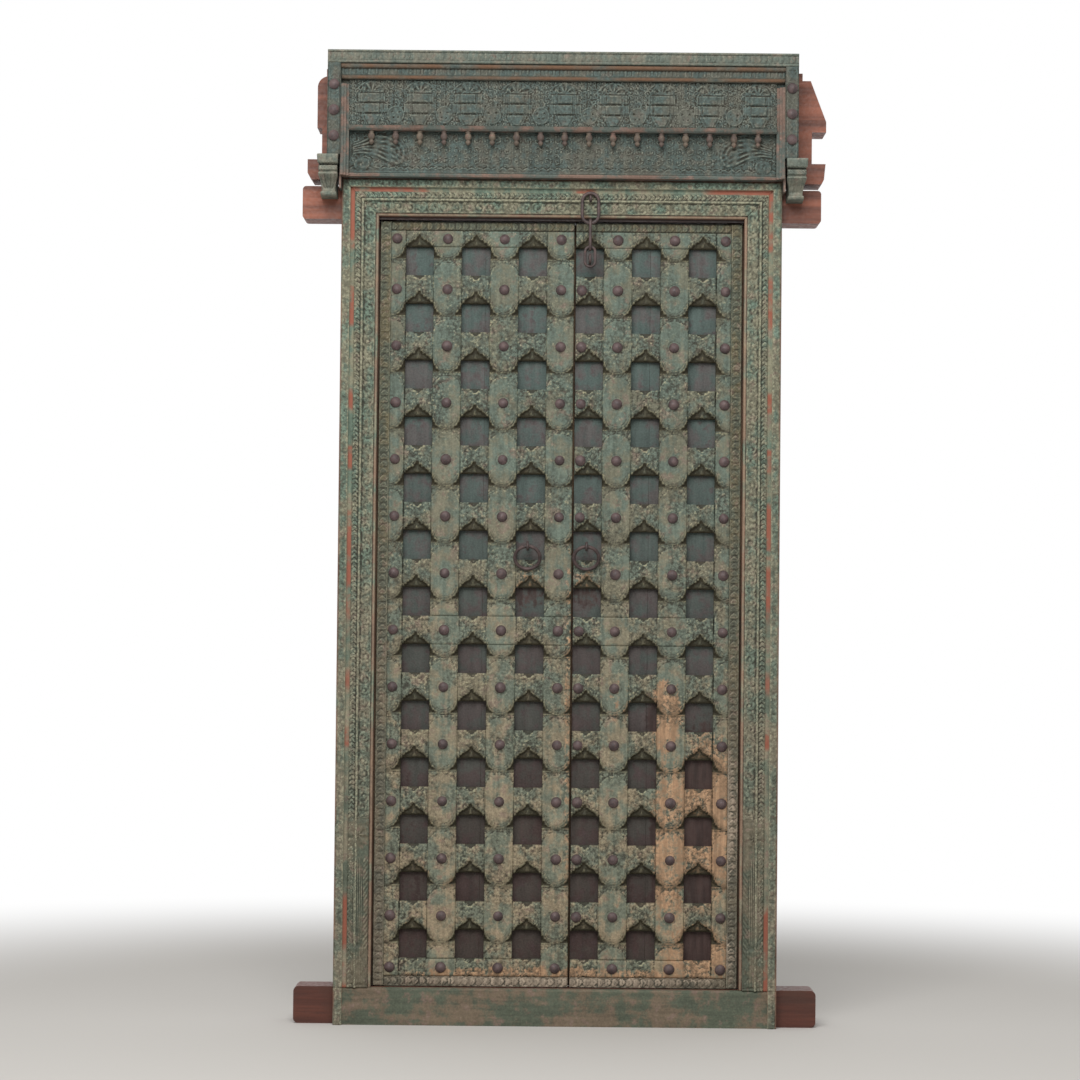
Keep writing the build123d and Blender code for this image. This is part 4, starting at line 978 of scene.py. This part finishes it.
stiles = {
    "across": (589.0, 624.0), "low": 2303.0, "high": 2547.0, "studs": (2353.0, 2421.0, 2489.0),
    "fields": (2328.0, 2387.0, 2455.0, 2523.0), "roundEnds": False,
    "step": 2.5, "face": ([0], [99.5]), "back": 0, "relief": (3.0, 0.22), "edgeRound": 1.5, "plain": 0.5,
}


def stileCarving(x, z):  # studs with small carved fields between them
    h = np.zeros_like(x)
    for stud in stiles["studs"]:
        h = h - 1.4 * ridge(np.hypot(x, z - stud), 16.5, 2.0)
    for mid in stiles["fields"]:
        inside = np.minimum(12.5 - np.abs(x), 16 - np.abs(z - mid))
        cross = ridge(np.abs(x) * 1.25 - np.abs(z - mid), 0, 2.0)
        h = h + ease(0, 1.5, inside) * (2.0 * cross - 1.8)
    return h - 1.3 * ridge(np.abs(x), 14.8, 0.9) + uneven(x, z, 5.0, 3, 0.9)


for side, s in (("left", -1), ("right", 1)):
    bm = bmesh.new()
    x0, x1 = sorted(s * x for x in stiles["across"])
    flatSheet(bm, (x0, x1, stiles["low"], stiles["high"]), stiles, stileCarving, lambda u, v: (u - (x0 + x1) / 2, v))
    finishPiece(f"carved_stile_{side}", bm, "cornicePaint", "frame", [f"cornice_stile_{side}"])

# corbels: out and half width by height
corbel = {
    "heights": [2197, 2201, 2207, 2211, 2217, 2235, 2247, 2253, 2259, 2263, 2273, 2277, 2281, 2297, 2301, 2303],
    "outs": [58, 66, 68, 60, 60, 74, 92, 98, 90, 98, 98, 88, 108, 114, 114, 108],
    "halves": [20, 21, 21, 18, 18, 21, 25, 26, 24, 25, 25, 24, 27, 28, 28, 27],
    "place": 621, "backHalf": 22, "outermost": 115.5, "cell": 0.07, "step": 2.2,
}


def corbelCarving(x, z, fluted):  # rope under the abacus, three lobed leaves or flutes on the bell
    a = np.abs(x)
    up = (z - 2215) / 38.0
    if fluted:
        cut = 1.6 * np.cos(a * 0.62) - 1.6 - 2.4 * ridge(a, 21, 1.6)
    else:
        lobe = 7.5 * np.sqrt(np.clip(up, 0, 1)) + 1.5
        cut = -4.2 * ridge(a, lobe, 1.7) - 3.0 * ridge(x, 0, 1.0) - 3.6 * ridge(a, lobe * 2 + 3, 1.8)
        cut = cut + 1.8 * ease(0.25, 0.0, np.abs(a - lobe * 1.5) / 9)
    cut = cut * ease(0, 0.12, up) * ease(1.0, 0.88, up)
    rope = 2.0 * np.cos((x + z * 1.2) * 0.8) * (ridge(z, 2268, 3.2) + ridge(z, 2278, 2.2))
    return np.interp(z, corbel["heights"], corbel["outs"]) + cut + rope + uneven(x, z, 6, 2, 1.8)


for side, s in (("left", -1), ("right", 1)):
    bm = bmesh.new()
    us, vs = gridLines([-1, 1], corbel["cell"]), gridLines(corbel["heights"], corbel["step"])

    def corbelSurface(u, v):
        half = np.interp(v, corbel["heights"], corbel["halves"])
        h, relief = reliefOf(lambda p, q: corbelCarving(p, q, s > 0), u * half, v, 2.6, 0.09)
        out = np.minimum(h, corbel["outermost"]) - 3.0 * ease(0.86, 1.0, np.abs(u))
        return s * corbel["place"] + u * half, out, v, relief, u * 0 + 0.7, u * 0

    carvedSheet(bm, us, vs, corbelSurface, lambda a, b: (s * corbel["place"] + a * corbel["backHalf"], 0, b))
    finishPiece(f"carved_corbel_{side}", bm, "corbelLitPaint", "frame", [f"corbel_{side}"])

# studs and turned pendants
studs = {
    "profile": [(13.6, -1.0), (14.4, 0.4), (13.8, 2.2), (11.6, 4.6), (8.2, 7.4), (4.2, 9.3), (0.0, 9.9)],
    "segments": 12, "head": 2094.5, "foot": 150.0, "behind": 7.5, "onStiles": 99.5,
    "besideSplit": 55.5,  # narrow column on the right leaf
}
pendants = {
    "profile": [(0.0, 2372.0), (9.0, 2372.0), (9.5, 2369.0), (6.5, 2367.0), (9.5, 2363.0), (11.6, 2358.0),
                (11.0, 2352.5), (7.0, 2348.5), (5.2, 2347.0), (8.4, 2344.0), (8.8, 2341.0), (6.0, 2337.5),
                (3.2, 2335.0), (0.0, 2334.3)],
    "segments": 12, "depth": -65.5, "slim": 0.82, "pitch": 64.2, "onEachSide": 8,
}


def turned(bm, profile, centre, axis, segments):  # profile is (radius, distance along the axis)
    axis = Vector(axis).normalized()
    side = axis.orthogonal().normalized()
    centre = Vector(centre) * mm
    verts = [bm.verts.new(centre + side * r * mm + axis * h * mm) for r, h in profile]
    edges = [bm.edges.new((a, b)) for a, b in zip(verts, verts[1:])]
    bmesh.ops.spin(bm, geom=verts + edges, cent=centre, axis=axis, angle=math.tau, steps=segments, use_merge=True)


def closeUp(bm, near, sides=0):  # merges what lies together, closes open ends, smooths
    bmesh.ops.remove_doubles(bm, verts=bm.verts, dist=near)
    ends = [e for e in bm.edges if e.is_boundary]
    if ends:
        bmesh.ops.holes_fill(bm, edges=ends, sides=sides)
    for f in bm.faces:
        f.smooth = True


def makeStuds(name, columns, rows, front, body, node, more=()):
    bm = bmesh.new()
    for x, z in [(x, z) for x in columns for z in rows] + list(more):
        wobble = handRandom.uniform(0.94, 1.04)
        tilt = (handRandom.uniform(-0.06, 0.06), -1, handRandom.uniform(-0.06, 0.06))
        profile = [(r * wobble, h * wobble) for r, h in studs["profile"]]
        turned(bm, profile, (x, -front, z), tilt, studs["segments"])
    closeUp(bm, 1e-5, 20)
    finishPiece(name, bm, "studIron", body, [node])


latticeRows = [lattice["studRow"] - lattice["pitch"] * n for n in range(lattice["rows"])]
studRows = [studs["head"]] + latticeRows + [studs["foot"]]
splitStuds = [(studs["besideSplit"], z) for z in latticeRows if z != latticeRows[5]]
makeStuds("studs_of_left_leaf", (-440, -304, -152, 0), studRows, -studs["behind"], "leaf_left", "studs_left")
makeStuds("studs_of_right_leaf", (152, 304, 440), studRows, -studs["behind"], "leaf_right", "studs_right", splitStuds)
makeStuds("studs_of_stiles", (-606.5, 606.5), stiles["studs"], studs["onStiles"], "frame", "stile_studs")

bm = bmesh.new()
for n in range(-pendants["onEachSide"], pendants["onEachSide"] + 1):
    x = cornice["motifShift"] + pendants["pitch"] * n
    profile = [(r * pendants["slim"], z) for r, z in pendants["profile"]]
    turned(bm, profile, (x, pendants["depth"], 0), (0, 0, 1), pendants["segments"])
closeUp(bm, 1e-6)
finishPiece("pendants_turned", bm, "pendantPaint", "frame", ["turned_pendants"])

# forged rings, links, eyes and staples: round bars swept through turns and straight runs
forged = {
    "facets": 10, "turnSteps": 10, "dents": 0.35, "dentScale": 90.0, "chainPlace": (76.0, -36.0),
    "ring": {"radius": 33.5, "wire": 4.8, "lean": 27.0, "pivot": (-27.5, 1272.0), "steps": 36},
    "ringPlaces": {"left": -83.0, "right": 74.0},
    "eye": {"radius": 9.5, "wire": 3.5, "height": 1272.9, "shank": (6.0, 8.0), "shankEnds": (-18.0, 33.0), "steps": 20},
    "links": {  # middle height, half turn radius, half of the straight run, bar, direction across, body
        "oval_link": (2174.5, 21.9, 18.5, 4.6, (1, 0, 0), "chain_oval"),
        "middle_link": (2103.0, 10.0, 30.0, 4.0, (0, 1, 0), "chain_middle"),
        "last_link": (2044.8, 13.5, 13.0, 4.0, (1, 0, 0), "chain_last"),
    },
    "staples": {  # height, half of the gap, bar, tip, seat, body
        "lintel_staple": (2200.0, 6.4, 3.6, -46.0, -30.0, "frame"),
        "hasp_staple": (2039.3, 9.4, 3.6, -58.0, 32.0, "leaf_right"),
    },
}


def startBar(bm, place, along, wire):
    turn = Vector(along).to_track_quat("Z", "Y").to_matrix().to_4x4()
    made = bmesh.ops.create_circle(bm, segments=forged["facets"], radius=wire * mm,
                                   matrix=Matrix.Translation(Vector(place) * mm) @ turn)
    return list({e for v in made["verts"] for e in v.link_edges})


def turnBar(bm, edges, middle, axis, degrees, steps=forged["turnSteps"]):
    verts = list({v for e in edges for v in e.verts})
    made = bmesh.ops.spin(bm, geom=verts + edges, cent=Vector(middle) * mm, axis=axis, angle=math.radians(degrees),
                          steps=steps, use_merge=degrees == 360)
    return [g for g in made["geom_last"] if isinstance(g, bmesh.types.BMEdge)]


def runBar(bm, edges, by):
    made = bmesh.ops.extrude_edge_only(bm, edges=edges)["geom"]
    bmesh.ops.translate(bm, verts=[g for g in made if isinstance(g, bmesh.types.BMVert)], vec=Vector(by) * mm)
    return [g for g in made if isinstance(g, bmesh.types.BMEdge) and g.is_boundary]


def roundedBlock(bm, middle, size, bevel, segments):
    place = Matrix.Translation(Vector(middle) * mm) @ Matrix.Diagonal((*size, 1))
    made = bmesh.ops.create_cube(bm, size=mm, matrix=place)
    corners = list({e for v in made["verts"] for e in v.link_edges})
    bmesh.ops.bevel(bm, geom=corners, offset=bevel * mm, segments=segments, profile=0.5, affect="EDGES", material=-1)


def finishIron(name, bm, body, node):
    closeUp(bm, 1e-6, forged["facets"])
    for v in bm.verts:
        v.co += noise.noise_vector(v.co * forged["dentScale"]) * forged["dents"] * mm
    finishPiece(name, bm, "ringIron", body, [node])


for side, x in forged["ringPlaces"].items():
    ring, eye = forged["ring"], forged["eye"]
    y, z = ring["pivot"]
    sine, cosine = math.sin(math.radians(ring["lean"])), math.cos(math.radians(ring["lean"]))
    middle = (x, y + ring["radius"] * sine, z - ring["radius"] * cosine)
    bm = bmesh.new()
    turnBar(bm, startBar(bm, (x, y, z), (1, 0, 0), ring["wire"]), middle, (0, cosine, sine), 360, ring["steps"])
    finishIron(f"forged_ring_{side}", bm, f"ring_{side}", f"ring_pull_{side}")
    bm = bmesh.new()
    start = startBar(bm, (x, y, eye["height"] + eye["radius"]), (0, 1, 0), eye["wire"])
    turnBar(bm, start, (x, y, eye["height"]), (1, 0, 0), 360, eye["steps"])
    front, back = eye["shankEnds"]
    size = (eye["shank"][0], back - front, eye["shank"][1])
    roundedBlock(bm, (x, (front + back) / 2, eye["height"]), size, 0.8, 2)
    finishIron(f"forged_eye_{side}", bm, f"leaf_{side}", f"ring_eye_{side}")

linkX, linkY = forged["chainPlace"]
for node, (height, radius, straight, wire, across, body) in forged["links"].items():
    bm = bmesh.new()
    normal = Vector(across).cross(Vector((0, 0, 1)))
    upper, lower = Vector((linkX, linkY, height + straight)), Vector((linkX, linkY, height - straight))
    first = startBar(bm, upper + Vector(across) * radius, (0, 0, 1), wire)
    last = turnBar(bm, first, upper, normal, 180)
    last = runBar(bm, last, lower - upper)
    last = turnBar(bm, last, lower, normal, 180)
    bmesh.ops.bridge_loops(bm, edges=first + last)
    finishIron(f"forged_{node}", bm, body, node)

for node, (height, radius, wire, tip, seat, body) in forged["staples"].items():
    bm = bmesh.new()
    bend = tip + wire + radius
    last = runBar(bm, startBar(bm, (linkX, seat, height + radius), (0, 1, 0), wire), (0, bend - seat, 0))
    last = turnBar(bm, last, (linkX, bend, height), (1, 0, 0), 180)
    runBar(bm, last, (0, seat - bend, 0))
    finishIron(f"forged_{node}", bm, body, node)

# loose tongue in the joint between the two planks of each leaf, which keeps daylight out
tongues = {"places": {"left": -202.75, "right": 239.75}, "size": (12.0, 4.0, 2039.0), "depth": 44.0, "foot": 101.0}
for side, x in tongues["places"].items():
    bm = bmesh.new()
    middle = (x, tongues["depth"], tongues["foot"] + tongues["size"][2] / 2)
    roundedBlock(bm, middle, tongues["size"], 0.6, 1)
    finishPiece(f"plank_tongue_{side}", bm, "uprightTimber", f"leaf_{side}", None)

# finishes of the pieces kept from the frame
keptFinish = {
    "oiledTimber": ["head_beam", "second_beam", "recessed_beam", "upper_beam", "back_board"],
    "sillTimber": ["sill_beam"],
    "thresholdPaint": ["threshold_board"],
    "recessPaint": ["planks_left", "planks_right"],
    "railPaint": ["pendant_rail", "bottom_bead", "cornice_inner_mouldings"],
    "backTimber": ["back_ledges_left", "back_ledges_right"],
    "uprightTimber": ["hinge_stile_left", "hinge_stile_right", "post_left", "post_right", "meeting_cover"],
}
for finish, names in keptFinish.items():
    for name in names:
        worn = nodes[name].data.materials
        if not worn:
            worn.append(materials[finish])
        for k in range(len(worn)):
            worn[k] = materials[finish]
print("finishes given to the kept pieces")
